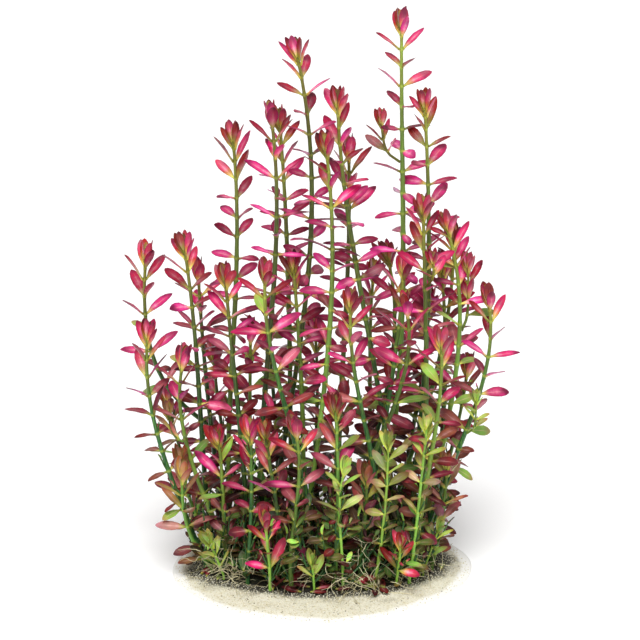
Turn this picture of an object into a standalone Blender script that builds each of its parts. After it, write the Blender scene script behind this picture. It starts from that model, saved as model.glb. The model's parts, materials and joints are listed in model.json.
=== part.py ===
"""A clump of red stem plants rooted in a patch of sand.

Every shoot is one solid: a square stem, its opposite pairs of leaves and the
bud of young leaves at its tip. The shoots stand in a mat of roots, which lies
on the sand. All sizes below are in millimetres, with +Z up and the front of
the clump towards -Y.
"""

import math
import random
from collections import defaultdict, namedtuple

import bmesh
import bpy
from mathutils import Matrix, Vector
from mathutils.bvhtree import BVHTree
from mathutils.geometry import interpolate_bezier

MM = 0.001
GAP = 0.3

# Sand patch
SAND_RADIUS = 81.0
SAND_TOP = 3.4
SAND_RIM = 1.0

# Root mat
MAT_HALF_SIZE = (69.0, 51.0)
MAT_TOP = 7.2
MAT_RIM = 3.6

# Stems
STEM_FOOT_RADIUS = 1.3
STEM_TIP_RADIUS = 0.75
STEM_THICKENS_OVER = 85.0
STEM_RING_TURN = 8.0
STEM_SAMPLES = 48

# Leaves
LEAF_LENGTH = 18.0
LEAF_WIDTH_SHARE = 0.33
LEAF_WIDEST = 0.6
LEAF_FOLD = 0.16
LEAF_ROOT_HALF_THICKNESS = 0.42
WHORL_SPACING = 10.5

# Leaves near the ground are shorter and rounder: their share of length at the
# ground and the height at which they reach their full length
LOW_LEAF_SHARE = 0.68
LOW_LEAF_TOP = 105.0

# Share of a shoot, from its tip, where every pair is modelled, and the step below it
FULL_SHARE = 0.3
THINNED_STEP = 5

# Young whorls from the tip down: distance below the tip, leaf length, rise in degrees, width share
Whorl = namedtuple("Whorl", "number drop length rise width")
YOUNG_WHORLS = (
    Whorl(0, 0.0, 4.5, 80.0, 0.45),
    Whorl(1, 1.2, 7.5, 76.0, 0.43),
    Whorl(2, 3.0, 10.0, 70.0, 0.39),
    Whorl(3, 6.5, 15.0, 60.0, 0.36),
    Whorl(4, 13.0, 17.0, 50.0, 0.34),
    Whorl(5, 22.0, 18.0, 40.0, 0.33),
    Whorl(6, 32.0, 18.2, 31.0, 0.33),
)
BUD_WHORLS = 3
BUD_HEIGHT = 9.3
BUD_RADIUS = 1.9

# The steepest that a leaf rises, in degrees
STEEPEST = 70.0

# Blades turn their upper faces towards the light, by this share of the way
LIGHT_WAY = (0.0, -0.75, 0.66)
LIGHT_SHARE = 0.55

# Slender green shoots, with leaves and stems of this share of the usual size
SLENDER_SHARE = 0.74
SLENDER_SHOOTS = ("low_shoot_05", "low_shoot_06", "low_shoot_07", "low_shoot_14", "side_shoot_02")

# Each row: foot (x, y), tip (x, y, z), how far the lower and upper handles of
# the stem's curve lie off its straight line, turn of the top pair of leaves in
# degrees, length of bare stem above the foot
Shoot = namedtuple("Shoot", "name foot tip low high turn bare")
SHOOTS = (
    Shoot("tall_shoot_01", (30, 20), (42, 10, 291), (18, 3, 0), (4, -3, 0), 20, 9),
    Shoot("tall_shoot_02", (-29, 20), (-12, 0, 277), (7, 4, 0), (26, -2, 0), 62, 9),
    Shoot("tall_shoot_03", (41, 15), (9, -5, 252), (10, -3, 0), (-8, 2, 0), 35, 9),
    Shoot("tall_shoot_04", (-31, 10), (-25, -5, 245), (-9, -3, 0), (12, 0, 0), 12, 9),
    Shoot("tall_shoot_05", (-49, 15), (-45, 0, 234), (-7, 3, 0), (8, -3, 0), 48, 9),
    Shoot("tall_shoot_06", (-10, 0), (3, -10, 230), (6, 0, 0), (14, 3, 0), 28, 9),
    Shoot("tall_shoot_07", (47, 25), (54, 5, 250), (10, 2, 0), (9, 4, 0), 55, 9),
    Shoot("tall_shoot_08", (7, 30), (15, 12, 226), (0, -3, 0), (5, 2, 0), 15, 9),
    Shoot("tall_shoot_09", (-16, 35), (-21, 10, 241), (1, 2, 0), (4, 4, 0), 40, 9),
    Shoot("tall_shoot_10", (51, 0), (53, -12, 198), (8, -2, 0), (3, -2, 0), 30, 9),
    Shoot("middle_shoot_01", (-22, 28), (-93, 18, 168), (14, 3, 34), (-36, 2, -64), 25, 105),
    Shoot("middle_shoot_02", (-58, 0), (-71, 0, 176), (-3, 3, 0), (4, -3, 0), 50, 8),
    Shoot("middle_shoot_03", (-51, 10), (-65, 15, 160), (-2, -1, 0), (-3, 3, 0), 10, 8),
    Shoot("middle_shoot_04", (-39, 0), (-49, -15, 163), (3, -3, 0), (0, 3, 0), 38, 8),
    Shoot("middle_shoot_05", (-6, -5), (-28, -20, 166), (13, -2, 0), (-12, 2, 0), 18, 8),
    Shoot("middle_shoot_06", (-61, -14), (-90, -10, 131), (-5, -3, 0), (-15, -3, 0), 45, 8),
    Shoot("middle_shoot_07", (-45, -22), (-72, -5, 117), (-6, 2, 0), (-18, 0, 0), 22, 30),
    Shoot("middle_shoot_08", (-11, 14), (-14, 2, 166), (5, 1, 0), (3, -3, 0), 60, 8),
    Shoot("middle_shoot_09", (27, -15), (16, -25, 152), (17, 3, 0), (-8, -3, 0), 33, 8),
    Shoot("middle_shoot_10", (16, -5), (44, -20, 149), (-14, -3, 0), (22, 0, 0), 5, 8),
    Shoot("middle_shoot_11", (50, -25), (62, -30, 132), (-3, 3, 0), (7, -3, 0), 42, 8),
    Shoot("middle_shoot_12", (54, -5), (88, -5, 150), (-4, -3, 0), (22, 3, 0), 16, 8),
    Shoot("middle_shoot_13", (57, 4), (66, 4, 187), (1, -2, 0), (24, -3, 0), 36, 8),
    Shoot("middle_shoot_14", (60, 15), (65, 17, 162), (6, 2, 0), (7, 3, 0), 64, 8),
    Shoot("middle_shoot_15", (21, 5), (44, 0, 165), (3, -4, 0), (5, -2, 0), 26, 8),
    Shoot("middle_shoot_16", (15, 25), (36, 21, 168), (6, 3, 0), (21, 1, 0), 52, 8),
    Shoot("middle_shoot_17", (-37, 18), (-37, 6, 129), (-2, 0, 0), (-1, 3, 0), 8, 8),
    Shoot("low_shoot_01", (-38, -34), (-36, -31, 85), (1, 2, 0), (2, -2, 0), 30, 6),
    Shoot("low_shoot_02", (-19, -33), (-28, -39, 86), (3, -2, 0), (0, 1, 0), 55, 6),
    Shoot("low_shoot_03", (-15, -39), (-13, -45, 91), (-3, 2, 0), (8, -1, 0), 20, 6),
    Shoot("low_shoot_04", (7, -41), (8, -36, 99), (3, -2, 0), (2, 2, 0), 44, 6),
    Shoot("low_shoot_05", (12, -43), (13, -49, 71), (0, 2, 0), (-6, -1, 0), 12, 22),
    Shoot("low_shoot_06", (29, -36), (35, -40, 82), (2, 1, 0), (2, -2, 0), 36, 6),
    Shoot("low_shoot_07", (47, -32), (55, -38, 90), (1, -2, 0), (0, 2, 0), 58, 6),
    Shoot("low_shoot_08", (-58, -17), (-72, -25, 61), (-10, 1, 0), (-6, -1, 0), 24, 6),
    Shoot("low_shoot_09", (60, -13), (67, -18, 63), (2, -1, 0), (2, 1, 0), 48, 6),
    Shoot("low_shoot_10", (-26, -43), (-28, -50, 43), (1, 1, 0), (0, -1, 0), 15, 5),
    Shoot("low_shoot_11", (40, -37), (42, -46, 29), (0, 0, 0), (0, 0, 0), 40, 5),
    Shoot("low_shoot_12", (-51, -27), (-58, -33, 26), (0, 0, 0), (0, 0, 0), 60, 5),
    Shoot("low_shoot_13", (-3, -46), (-4, -52, 22), (0, 0, 0), (0, 0, 0), 28, 5),
    Shoot("low_shoot_14", (55, -21), (63, -27, 32), (0, 0, 0), (0, 0, 0), 10, 5),
    Shoot("low_shoot_15", (-58, -8), (-73, -13, 64), (0, 1, 0), (-5, 0, 0), 52, 6),
    Shoot("low_shoot_16", (21, -29), (24, -34, 62), (0, 1, 0), (2, 0, 0), 26, 6),
    Shoot("low_shoot_17", (-49, -11), (-53, -23, 78), (-2, -1, 0), (1, 2, 0), 57, 6),
    Shoot("back_shoot_01", (-42, 30), (-59, 42, 108), (-3, 3, 0), (-4, 2, 0), 34, 8),
    Shoot("back_shoot_02", (-24, 44), (-31, 56, 132), (4, 3, 0), (2, 2, 0), 14, 8),
    Shoot("back_shoot_03", (0, 45), (-3, 60, 118), (-4, 2, 0), (3, 3, 0), 46, 8),
    Shoot("back_shoot_04", (25, 43), (30, 56, 152), (5, 2, 0), (-3, 3, 0), 26, 8),
    Shoot("back_shoot_05", (43, 33), (60, 46, 138), (-2, 3, 0), (6, 2, 0), 56, 8),
    Shoot("back_shoot_06", (57, 18), (81, 30, 104), (2, 2, 0), (5, 1, 0), 18, 8),
    Shoot("back_shoot_07", (-57, 14), (-84, 26, 88), (-3, 2, 0), (-4, 2, 0), 42, 8),
    Shoot("back_shoot_08", (34, 30), (72, 26, 176), (8, 2, 0), (14, 2, 0), 38, 8),
    Shoot("back_shoot_09", (10, 42), (13, 48, 84), (1, 2, 0), (-2, 1, 0), 12, 8),
)

# Each row: parent, height of its foot on the parent, then as for a shoot
SideShoot = namedtuple("SideShoot", "name parent height tip low high turn bare")
SIDE_SHOOTS = (
    SideShoot("side_shoot_01", "tall_shoot_01", 220, (32, 5, 242), (-4, 0, -4), (-3, 0, -6), 30, 4),
    SideShoot("side_shoot_02", "middle_shoot_12", 78, (82, -13, 98), (3, 0, -5), (2, 0, -6), 50, 4),
    SideShoot("side_shoot_03", "middle_shoot_13", 131, (78, 6, 166), (3, 0, -6), (2, 0, -8), 20, 4),
    SideShoot("side_shoot_04", "middle_shoot_07", 74, (-80, -10, 90), (-3, 0, -4), (-2, 0, -5), 60, 3),
    SideShoot("side_shoot_05", "tall_shoot_10", 156, (58, -20, 173), (2, 0, -4), (2, 0, -4), 44, 3),
)

# Changes tried for a leaf that has no room: turn, rise, share of its length
TRIES = (
    (0, 0, 1.0),
    (18, 0, 1.0),
    (-18, 0, 1.0),
    (0, 20, 1.0),
    (0, -20, 1.0),
    (36, 0, 1.0),
    (-36, 0, 1.0),
    (0, 34, 1.0),
    (0, -34, 1.0),
    (18, 20, 0.85),
    (-18, 20, 0.85),
    (24, -18, 0.8),
    (-24, -18, 0.8),
    (0, 0, 0.65),
    (0, 30, 0.6),
)
LEAF_ROOM = 0.2
STEM_ROOM = 0.5
GROUND_ROOM = 0.4
ENVELOPE_STATIONS = (0.0, 0.3, 0.6, 0.86)
ENVELOPE_ROOT_SHARE = 0.5
BUD_SPREAD = 3.7
CELL = 20.0
STEM_NUMBER = -9

COLOURS = {
    "sand": ("E2DCC5", 0.9),
    "root_mat": ("3A3522", 0.85),
    "tall": ("A32045", 0.5),
    "middle": ("96213F", 0.5),
    "low": ("6E3A34", 0.5),
    "back": ("7D2A3A", 0.5),
    "side": ("8C3A3C", 0.5),
}

Stem = namedtuple("Stem", "name points tangents easts length turn bare vigour grounded")
Blade = namedtuple("Blade", "root along side normal length half_width bend skew")
Leaf = namedtuple("Leaf", "number drop corner blade")


def wavy(angle, parts):
    """1 plus a sum of small waves round a circle, for an irregular rim."""
    return 1.0 + sum(size * math.sin(count * angle + phase) for count, size, phase in parts)


def sand_rim(angle):
    return SAND_RADIUS * wavy(angle, ((3, 0.012, 1.0), (5, 0.01, 2.2), (8, 0.006, 0.4)))


def mat_rim(angle):
    half_x, half_y = MAT_HALF_SIZE
    ellipse = half_x * half_y / math.hypot(half_y * math.cos(angle), half_x * math.sin(angle))
    return ellipse * wavy(angle, ((4, 0.02, 0.7), (7, 0.018, 2.0), (11, 0.01, 1.1)))


def share_of_rim(x, y, rim):
    """0 in the middle and 1 on the rim."""
    return math.hypot(x, y) / rim(math.atan2(y, x))


def sand_height(x, y):
    return SAND_TOP - (SAND_TOP - SAND_RIM) * share_of_rim(x, y, sand_rim) ** 2


def mat_height(x, y):
    return MAT_TOP - (MAT_TOP - MAT_RIM) * share_of_rim(x, y, mat_rim) ** 2


def mat_underside(x, y):
    return sand_height(x, y) + GAP


def ground_height(x, y):
    """Top of the mat, the sand or the surface under them."""
    if share_of_rim(x, y, mat_rim) <= 1.03:
        return mat_height(x, y)
    if share_of_rim(x, y, sand_rim) <= 1.0:
        return sand_height(x, y)
    return 0.0


def linear(channel):
    return channel / 12.92 if channel <= 0.04045 else ((channel + 0.055) / 1.055) ** 2.4


def colour_of(hexadecimal):
    """Linear RGBA of an sRGB hexadecimal colour."""
    channels = [int(hexadecimal[i:i + 2], 16) / 255 for i in (0, 2, 4)]
    return (*map(linear, channels), 1.0)


def make_material(name):
    hexadecimal, roughness = COLOURS[name]
    material = bpy.data.materials.new(name)
    material.use_nodes = True
    shader = material.node_tree.nodes["Principled BSDF"]
    shader.inputs["Base Color"].default_value = colour_of(hexadecimal)
    shader.inputs["Roughness"].default_value = roughness
    shader.inputs["Metallic"].default_value = 0.0
    material.diffuse_color = colour_of(hexadecimal)
    return material


def add_object(name, bm, material, origin):
    """An object with its origin at a point of the clump, from a mesh in millimetres."""
    bmesh.ops.translate(bm, verts=bm.verts, vec=-origin)
    bmesh.ops.scale(bm, verts=bm.verts, vec=(MM, MM, MM))
    mesh = bpy.data.meshes.new(name)
    bm.to_mesh(mesh)
    bm.free()
    mesh.materials.append(material)
    body = bpy.data.objects.new(name, mesh)
    body.location = origin * MM
    bpy.context.scene.collection.objects.link(body)
    return body


def layer_of(bm, rim, height, sectors, shares):
    """One face of a round layer: its centre, then a ring of vertices for each share of the rim."""
    centre = bm.verts.new((0, 0, height(0, 0)))
    rings = []
    for share in shares:
        ring = []
        for sector in range(sectors):
            angle = 2 * math.pi * sector / sectors
            x = share * rim(angle) * math.cos(angle)
            y = share * rim(angle) * math.sin(angle)
            ring.append(bm.verts.new((x, y, height(x, y))))
        rings.append(ring)
    return centre, rings


def close_layer(bm, layer, upward):
    """Fans and strips over one face of a round layer."""
    centre, rings = layer
    count = len(rings[0])
    for i in range(count):
        j = (i + 1) % count
        corners = [(centre, rings[0][i], rings[0][j])]
        corners += [(a[i], b[i], b[j], a[j]) for a, b in zip(rings, rings[1:])]
        for face in corners:
            bm.faces.new(face if upward else face[::-1])


def build_layer(name, rim, bottom, top, sectors, shares):
    """A closed round layer between two heights."""
    bm = bmesh.new()
    under = layer_of(bm, rim, bottom, sectors, shares)
    over = layer_of(bm, rim, top, sectors, shares)
    close_layer(bm, under, upward=False)
    close_layer(bm, over, upward=True)
    for i in range(sectors):
        j = (i + 1) % sectors
        bm.faces.new((under[1][-1][i], under[1][-1][j], over[1][-1][j], over[1][-1][i]))
    bmesh.ops.triangulate(bm, faces=bm.faces)
    return add_object(name, bm, make_material("sand" if "sand" in name else name), Vector())


def flat(x, y):
    return 0.0


def even_points(curve, count):
    """Points at equal distances along a polyline, and its length."""
    lengths = [0.0]
    for start, end in zip(curve, curve[1:]):
        lengths.append(lengths[-1] + (end - start).length)
    points = []
    index = 0
    for step in range(count + 1):
        target = lengths[-1] * step / count
        while index < len(curve) - 2 and lengths[index + 1] < target:
            index += 1
        share = (target - lengths[index]) / (lengths[index + 1] - lengths[index])
        points.append(curve[index].lerp(curve[index + 1], share))
    return points, lengths[-1]


def make_stem(row, foot, grounded):
    """The stem's centre line from foot to tip, with its directions."""
    tip = Vector(row.tip)
    low = foot.lerp(tip, 1 / 3) + Vector(row.low)
    high = foot.lerp(tip, 2 / 3) + Vector(row.high)
    curve = interpolate_bezier(foot, low, high, tip, 241)
    points, length = even_points(curve, STEM_SAMPLES)
    tangents = []
    for i in range(len(points)):
        before = points[max(i - 1, 0)]
        after = points[min(i + 1, STEM_SAMPLES)]
        tangents.append((after - before).normalized())
    east = Vector((1, 0, 0))
    easts = []
    for tangent in reversed(tangents):
        east = (east - tangent * east.dot(tangent)).normalized()
        easts.append(east)
    vigour = min(1.0, 0.62 + length / 160)
    if row.name in SLENDER_SHOOTS:
        vigour *= SLENDER_SHARE
    return Stem(row.name, points, tangents, easts[::-1], length, row.turn, row.bare, vigour, grounded)


def frame_at(stem, drop):
    """Centre, upward, eastward and northward directions at a distance below the tip."""
    place = (1 - drop / stem.length) * STEM_SAMPLES
    index = min(max(int(place), 0), STEM_SAMPLES - 1)
    share = place - index
    centre = stem.points[index].lerp(stem.points[index + 1], share)
    upward = stem.tangents[index].lerp(stem.tangents[index + 1], share).normalized()
    east = stem.easts[index].lerp(stem.easts[index + 1], share)
    east = (east - upward * east.dot(upward)).normalized()
    return centre, upward, east, upward.cross(east)


def stem_radius(stem, drop):
    share = min(1.0, drop / STEM_THICKENS_OVER)
    return stem.vigour * (STEM_TIP_RADIUS + (STEM_FOOT_RADIUS - STEM_TIP_RADIUS) * share)


def outward(frame, degrees):
    """Direction square to the stem at an angle round it."""
    angle = math.radians(degrees)
    return frame[2] * math.cos(angle) + frame[3] * math.sin(angle)


def leaf_outline(u):
    """Half width of a leaf at a share of its length, 1 at its widest."""
    before, after = 0.9, 0.6
    widest = LEAF_WIDEST ** before * (1 - LEAF_WIDEST) ** after
    return u ** before * max(0.0, 1 - u) ** after / widest


def blade_point(blade, u, v):
    """Point of a leaf at u along it and v across it, from -1 to 1."""
    half = blade.half_width * leaf_outline(u)
    along = blade.along * (blade.length * u)
    across = blade.side * (half * v + blade.skew * blade.length * u * u)
    lift = blade.normal * (LEAF_FOLD * half * abs(v) - blade.bend * blade.length * u * u)
    return blade.root + along + across + lift


def whorls_of(stem):
    """Every whorl of a shoot, from its tip down to its bare foot."""
    last = stem.length - stem.bare
    for whorl in YOUNG_WHORLS:
        if whorl.drop * stem.vigour <= last:
            yield whorl._replace(drop=whorl.drop * stem.vigour)
    chance = random.Random(stem.name)
    number = len(YOUNG_WHORLS)
    drop = (YOUNG_WHORLS[-1].drop + WHORL_SPACING) * stem.vigour
    while drop <= last:
        rise = max(-12.0, 28.0 - 0.32 * (drop - 32.0))
        height = frame_at(stem, drop)[0].z
        share = min(1.0, LOW_LEAF_SHARE + (1 - LOW_LEAF_SHARE) * height / LOW_LEAF_TOP)
        length = LEAF_LENGTH * chance.uniform(0.86, 1.06) * share
        yield Whorl(number, drop, length, rise, LEAF_WIDTH_SHARE / share)
        number += 1
        drop += WHORL_SPACING * chance.uniform(0.88, 1.14) * stem.vigour


def is_solid_whorl(stem, whorl):
    """Whether a whorl is modelled as leaves here: all near the tip, and some below."""
    if whorl.number < BUD_WHORLS:
        return False
    if whorl.drop <= FULL_SHARE * stem.length:
        return True
    return whorl.number % THINNED_STEP == 0


def turn_to_light(along, side):
    """How far, in degrees, a leaf rolls about its length to face the light."""
    light = Vector(LIGHT_WAY)
    facing = max(light.dot(along.cross(side)), 0.35)
    return -LIGHT_SHARE * math.degrees(math.atan2(light.dot(side), facing))


def leaf_blade(stem, whorl, corner, change):
    """A leaf of a whorl, at one corner of the stem, with a change of turn, rise and length."""
    chance = random.Random(f"{stem.name} {whorl.number} {corner}")
    frame = frame_at(stem, whorl.drop)
    radius = stem_radius(stem, whorl.drop)
    root_turn = stem.turn + 90 * corner
    spread = 4.0 if whorl.number < 4 else 15.0
    turn = root_turn + chance.uniform(-spread, spread) + change[0]
    rise = math.radians(min(whorl.rise + chance.uniform(-spread, spread) + change[1], STEEPEST))
    out = outward(frame, turn)
    side = frame[1].cross(out)
    along = out * math.cos(rise) + frame[1] * math.sin(rise)
    loose = min(1.0, 0.2 + 0.25 * (whorl.number - BUD_WHORLS))
    roll = loose * (chance.uniform(-25, 25) + turn_to_light(along, side))
    side = Matrix.Rotation(math.radians(roll), 3, along) @ side
    length = whorl.length * stem.vigour * chance.uniform(0.84, 1.1) * change[2]
    bend = chance.uniform(0.02, 0.09) if whorl.number < 6 else chance.uniform(0.07, 0.19)
    return Blade(
        root=frame[0] + outward(frame, root_turn) * radius,
        along=along,
        side=side,
        normal=along.cross(side),
        length=length,
        half_width=length * whorl.width / 2,
        bend=bend,
        skew=chance.uniform(-0.04, 0.04),
    )


def leaf_envelope(blade):
    """A closed shape a little larger than a leaf, as a tree for finding collisions, and its points."""
    points = []
    for u in ENVELOPE_STATIONS:
        thick = LEAF_ROOT_HALF_THICKNESS * (1 - u) + LEAF_ROOM
        sag = blade.bend * blade.length * (u - u * u)
        kite = min(ENVELOPE_ROOT_SHARE + (1 - ENVELOPE_ROOT_SHARE) * u / LEAF_WIDEST, 1.0)
        half = blade.half_width * max(leaf_outline(u), kite if u <= LEAF_WIDEST else 0.0) + LEAF_ROOM
        middle = blade_point(blade, u, 0)
        edge = middle + blade.normal * (LEAF_FOLD * half)
        points.append(edge + blade.side * half)
        points.append(middle + blade.normal * thick)
        points.append(edge - blade.side * half)
        points.append(middle - blade.normal * (thick + sag))
    points.append(blade_point(blade, 1, 0) + blade.along * LEAF_ROOM)
    faces = [(0, 1, 2, 3)]
    last = len(points) - 1
    for i in range(4):
        j = (i + 1) % 4
        for ring in range(0, last - 4, 4):
            faces.append((ring + i, ring + j, ring + 4 + j, ring + 4 + i))
        faces.append((last - 4 + i, last - 4 + j, last))
    return BVHTree.FromPolygons(points, faces), points


def stem_pieces(stem):
    """Short tubes round a stem, a little wider than it, for finding collisions."""
    step = 4
    for start in range(0, STEM_SAMPLES, step):
        rings = []
        for index in (start, start + step):
            drop = stem.length * (1 - index / STEM_SAMPLES)
            frame = frame_at(stem, drop)
            radius = stem_radius(stem, drop) + STEM_ROOM
            rings.append([frame[0] + outward(frame, 60 * i) * radius for i in range(6)])
        faces = [(i, (i + 1) % 6, 6 + (i + 1) % 6, 6 + i) for i in range(6)]
        faces += [tuple(range(6)), tuple(range(6, 12))]
        points = rings[0] + rings[1]
        yield BVHTree.FromPolygons(points, faces), points


def bud_envelope(stem):
    """A spindle round the young leaves at the tip, for finding collisions."""
    frame = frame_at(stem, 0)
    size = stem.vigour
    points = [frame[0] - frame[1] * 3.0 * size, frame[0] + frame[1] * (BUD_HEIGHT + LEAF_ROOM) * size]
    for i in range(6):
        rim = outward(frame, 60 * i) * BUD_SPREAD * size
        points.append(frame[0] + rim + frame[1] * BUD_HEIGHT * size * 0.6)
    faces = [(0, 2 + (i + 1) % 6, 2 + i) for i in range(6)]
    faces += [(1, 2 + i, 2 + (i + 1) % 6) for i in range(6)]
    return BVHTree.FromPolygons(points, faces), points


class Crowd:
    """Everything placed so far, found by the cells it lies in."""

    def __init__(self):
        self.cells = defaultdict(list)

    def cells_of(self, points):
        low = [math.floor(min(p[i] for p in points) / CELL) for i in range(3)]
        high = [math.floor(max(p[i] for p in points) / CELL) for i in range(3)]
        for x in range(low[0], high[0] + 1):
            for y in range(low[1], high[1] + 1):
                for z in range(low[2], high[2] + 1):
                    yield x, y, z

    def add(self, shape, owner, number):
        tree, points = shape
        for cell in self.cells_of(points):
            self.cells[cell].append((tree, owner, number))

    def has_room(self, shape, owner, number):
        tree, points = shape
        for cell in self.cells_of(points):
            for other, other_owner, other_number in self.cells[cell]:
                if other_owner == owner and other_number in (STEM_NUMBER, number - 1, number, number + 1):
                    continue
                if tree.overlap(other):
                    return False
        return True


def above_ground(points):
    return all(p.z >= ground_height(p.x, p.y) + GROUND_ROOM for p in points)


def grow_leaf(stem, whorl, corner, crowd):
    """The first of the changed leaves that has room, or none."""
    for change in TRIES:
        blade = leaf_blade(stem, whorl, corner, change)
        shape = leaf_envelope(blade)
        if above_ground(shape[1]) and crowd.has_room(shape, stem.name, whorl.number):
            crowd.add(shape, stem.name, whorl.number)
            return Leaf(whorl.number, whorl.drop, corner, blade)
    return None


def grow_leaves(stem, whorls, crowd):
    """Leaves of the given whorls. Pairs alternate between the stem's two directions."""
    leaves = []
    for whorl in whorls:
        for corner in (whorl.number % 2, whorl.number % 2 + 2):
            leaf = grow_leaf(stem, whorl, corner, crowd)
            if leaf:
                leaves.append(leaf)
    return leaves


def bend_between(stem, start, end):
    """How far the stem turns between two distances below its tip, in degrees."""
    steps = [start + (end - start) * i / 4 for i in range(5)]
    ways = [frame_at(stem, drop)[1] for drop in steps]
    return math.degrees(sum(a.angle(b) for a, b in zip(ways, ways[1:])))


def stem_levels(stem, leaves):
    """Distances below the tip where the stem has a ring, from its foot up, with the leaves there."""
    at_drop = defaultdict(dict)
    for leaf in leaves:
        at_drop[leaf.drop][leaf.corner] = leaf
    stops = [stem.length, *sorted(at_drop, reverse=True), 2.5 * stem.vigour]
    levels = [(stem.length, {})]
    for start, end in zip(stops, stops[1:]):
        parts = math.ceil(bend_between(stem, start, end) / STEM_RING_TURN)
        for part in range(1, parts):
            levels.append((start + (end - start) * part / parts, {}))
        levels.append((end, at_drop.get(end, {})))
    return levels


def ring_of(bm, stem, drop, leaves):
    """The stem's corners at a level. One with a leaf is split in two, with the leaf's root between."""
    frame = frame_at(stem, drop)
    if stem.grounded and drop == stem.length:
        frame = (frame[0], Vector((0, 0, 1)), Vector((1, 0, 0)), Vector((0, 1, 0)))
    radius = stem_radius(stem, drop)
    under, over = [], []
    for corner in range(4):
        point = frame[0] + outward(frame, stem.turn + 90 * corner) * radius
        if corner in leaves:
            split = frame[1] * LEAF_ROOT_HALF_THICKNESS * stem.vigour
            under.append(bm.verts.new(point - split))
            over.append(bm.verts.new(point + split))
        else:
            under.append(bm.verts.new(point))
            over.append(under[-1])
    return under, over


def add_leaf(bm, leaf, under, over):
    """A leaf's upper and lower faces, between two plain corners and a split one."""
    corner = leaf.corner
    before = over[corner - 1]
    after = over[(corner + 1) % 4]
    left = bm.verts.new(blade_point(leaf.blade, LEAF_WIDEST, -1))
    right = bm.verts.new(blade_point(leaf.blade, LEAF_WIDEST, 1))
    tip = bm.verts.new(blade_point(leaf.blade, 1, 0))
    upper = (before, left, over[corner]), (over[corner], left, tip)
    upper += (over[corner], tip, right), (over[corner], right, after)
    lower = (before, under[corner], left), (under[corner], tip, left)
    lower += (under[corner], right, tip), (under[corner], after, right)
    for face in upper + lower:
        bm.faces.new(face)


def add_bud(bm, stem, ring):
    """The young leaves at the tip as one pointed bud."""
    frame = frame_at(stem, 0)
    height = BUD_HEIGHT * stem.vigour
    waist = []
    for corner in range(4):
        out = outward(frame, stem.turn + 90 * corner) * BUD_RADIUS * stem.vigour
        waist.append(bm.verts.new(frame[0] + out + frame[1] * height * 0.35))
    tip = bm.verts.new(frame[0] + frame[1] * height)
    for i in range(4):
        j = (i + 1) % 4
        bm.faces.new((ring[i], ring[j], waist[j], waist[i]))
        bm.faces.new((waist[i], waist[j], tip))


def build_shoot(stem, leaves):
    """One closed body for a stem with its leaves and its bud."""
    bm = bmesh.new()
    below = None
    for drop, at_level in stem_levels(stem, leaves):
        under, over = ring_of(bm, stem, drop, at_level)
        if below is None:
            bm.faces.new(under[::-1])
        else:
            for i in range(4):
                j = (i + 1) % 4
                bm.faces.new((below[i], below[j], under[j], under[i]))
        for leaf in at_level.values():
            add_leaf(bm, leaf, under, over)
        below = over
    add_bud(bm, stem, below)
    bmesh.ops.triangulate(bm, faces=bm.faces)
    kind = stem.name.split("_")[0]
    material = bpy.data.materials.get(kind) or make_material(kind)
    return add_object(stem.name, bm, material, stem.points[0])


def side_foot(row, parent):
    """Where a side shoot starts: just off its parent's stem, on the side of its own tip."""
    index = min(range(STEM_SAMPLES + 1), key=lambda i: abs(parent.points[i].z - row.height))
    centre = parent.points[index]
    drop = parent.length * (1 - index / STEM_SAMPLES)
    away = Vector(row.tip) - centre
    away.z = 0
    return centre + away.normalized() * (stem_radius(parent, drop) + GAP)


def grow_stems():
    stems = {}
    for row in SHOOTS:
        foot = Vector((*row.foot, ground_height(*row.foot) + GAP))
        stems[row.name] = make_stem(row, foot, True)
    for row in SIDE_SHOOTS:
        stems[row.name] = make_stem(row, side_foot(row, stems[row.parent]), False)
    return stems


def clear_scene():
    for body in list(bpy.data.objects):
        bpy.data.objects.remove(body, do_unlink=True)


def main():
    clear_scene()
    build_layer("sand_patch", sand_rim, flat, sand_height, 26, (0.5, 1.0))
    build_layer("root_mat", mat_rim, mat_underside, mat_height, 26, (0.5, 1.0))
    stems = grow_stems()
    crowd = Crowd()
    for stem in stems.values():
        crowd.add(bud_envelope(stem), stem.name, BUD_WHORLS - 1)
        for shape in stem_pieces(stem):
            crowd.add(shape, stem.name, STEM_NUMBER)
    for stem in stems.values():
        solid = [whorl for whorl in whorls_of(stem) if is_solid_whorl(stem, whorl)]
        build_shoot(stem, grow_leaves(stem, solid, crowd))


main()
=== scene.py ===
"""A clump of red stem plants rooted in a patch of sand: its looks.

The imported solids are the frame. Each shoot's solid is replaced by one mesh with
its round stem, its leaves, twigs and sprouts, and the young leaves at its tip.
The root mat gets its loose roots and fallen leaves, and the sand its grains.
The shoots are grown in millimetres by the same rules as the solids, so a leaf
that both hold lies at the same place. Meshes are written in metres, with +Z up
and the front of the clump towards -Y.
"""

import functools
import json
import math
import random
from collections import defaultdict, namedtuple

import bmesh
import bpy
from bpy.props import FloatProperty, FloatVectorProperty, IntProperty, PointerProperty
from mathutils import Matrix, Vector, noise
from mathutils.bvhtree import BVHTree
from mathutils.geometry import interpolate_bezier

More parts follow.
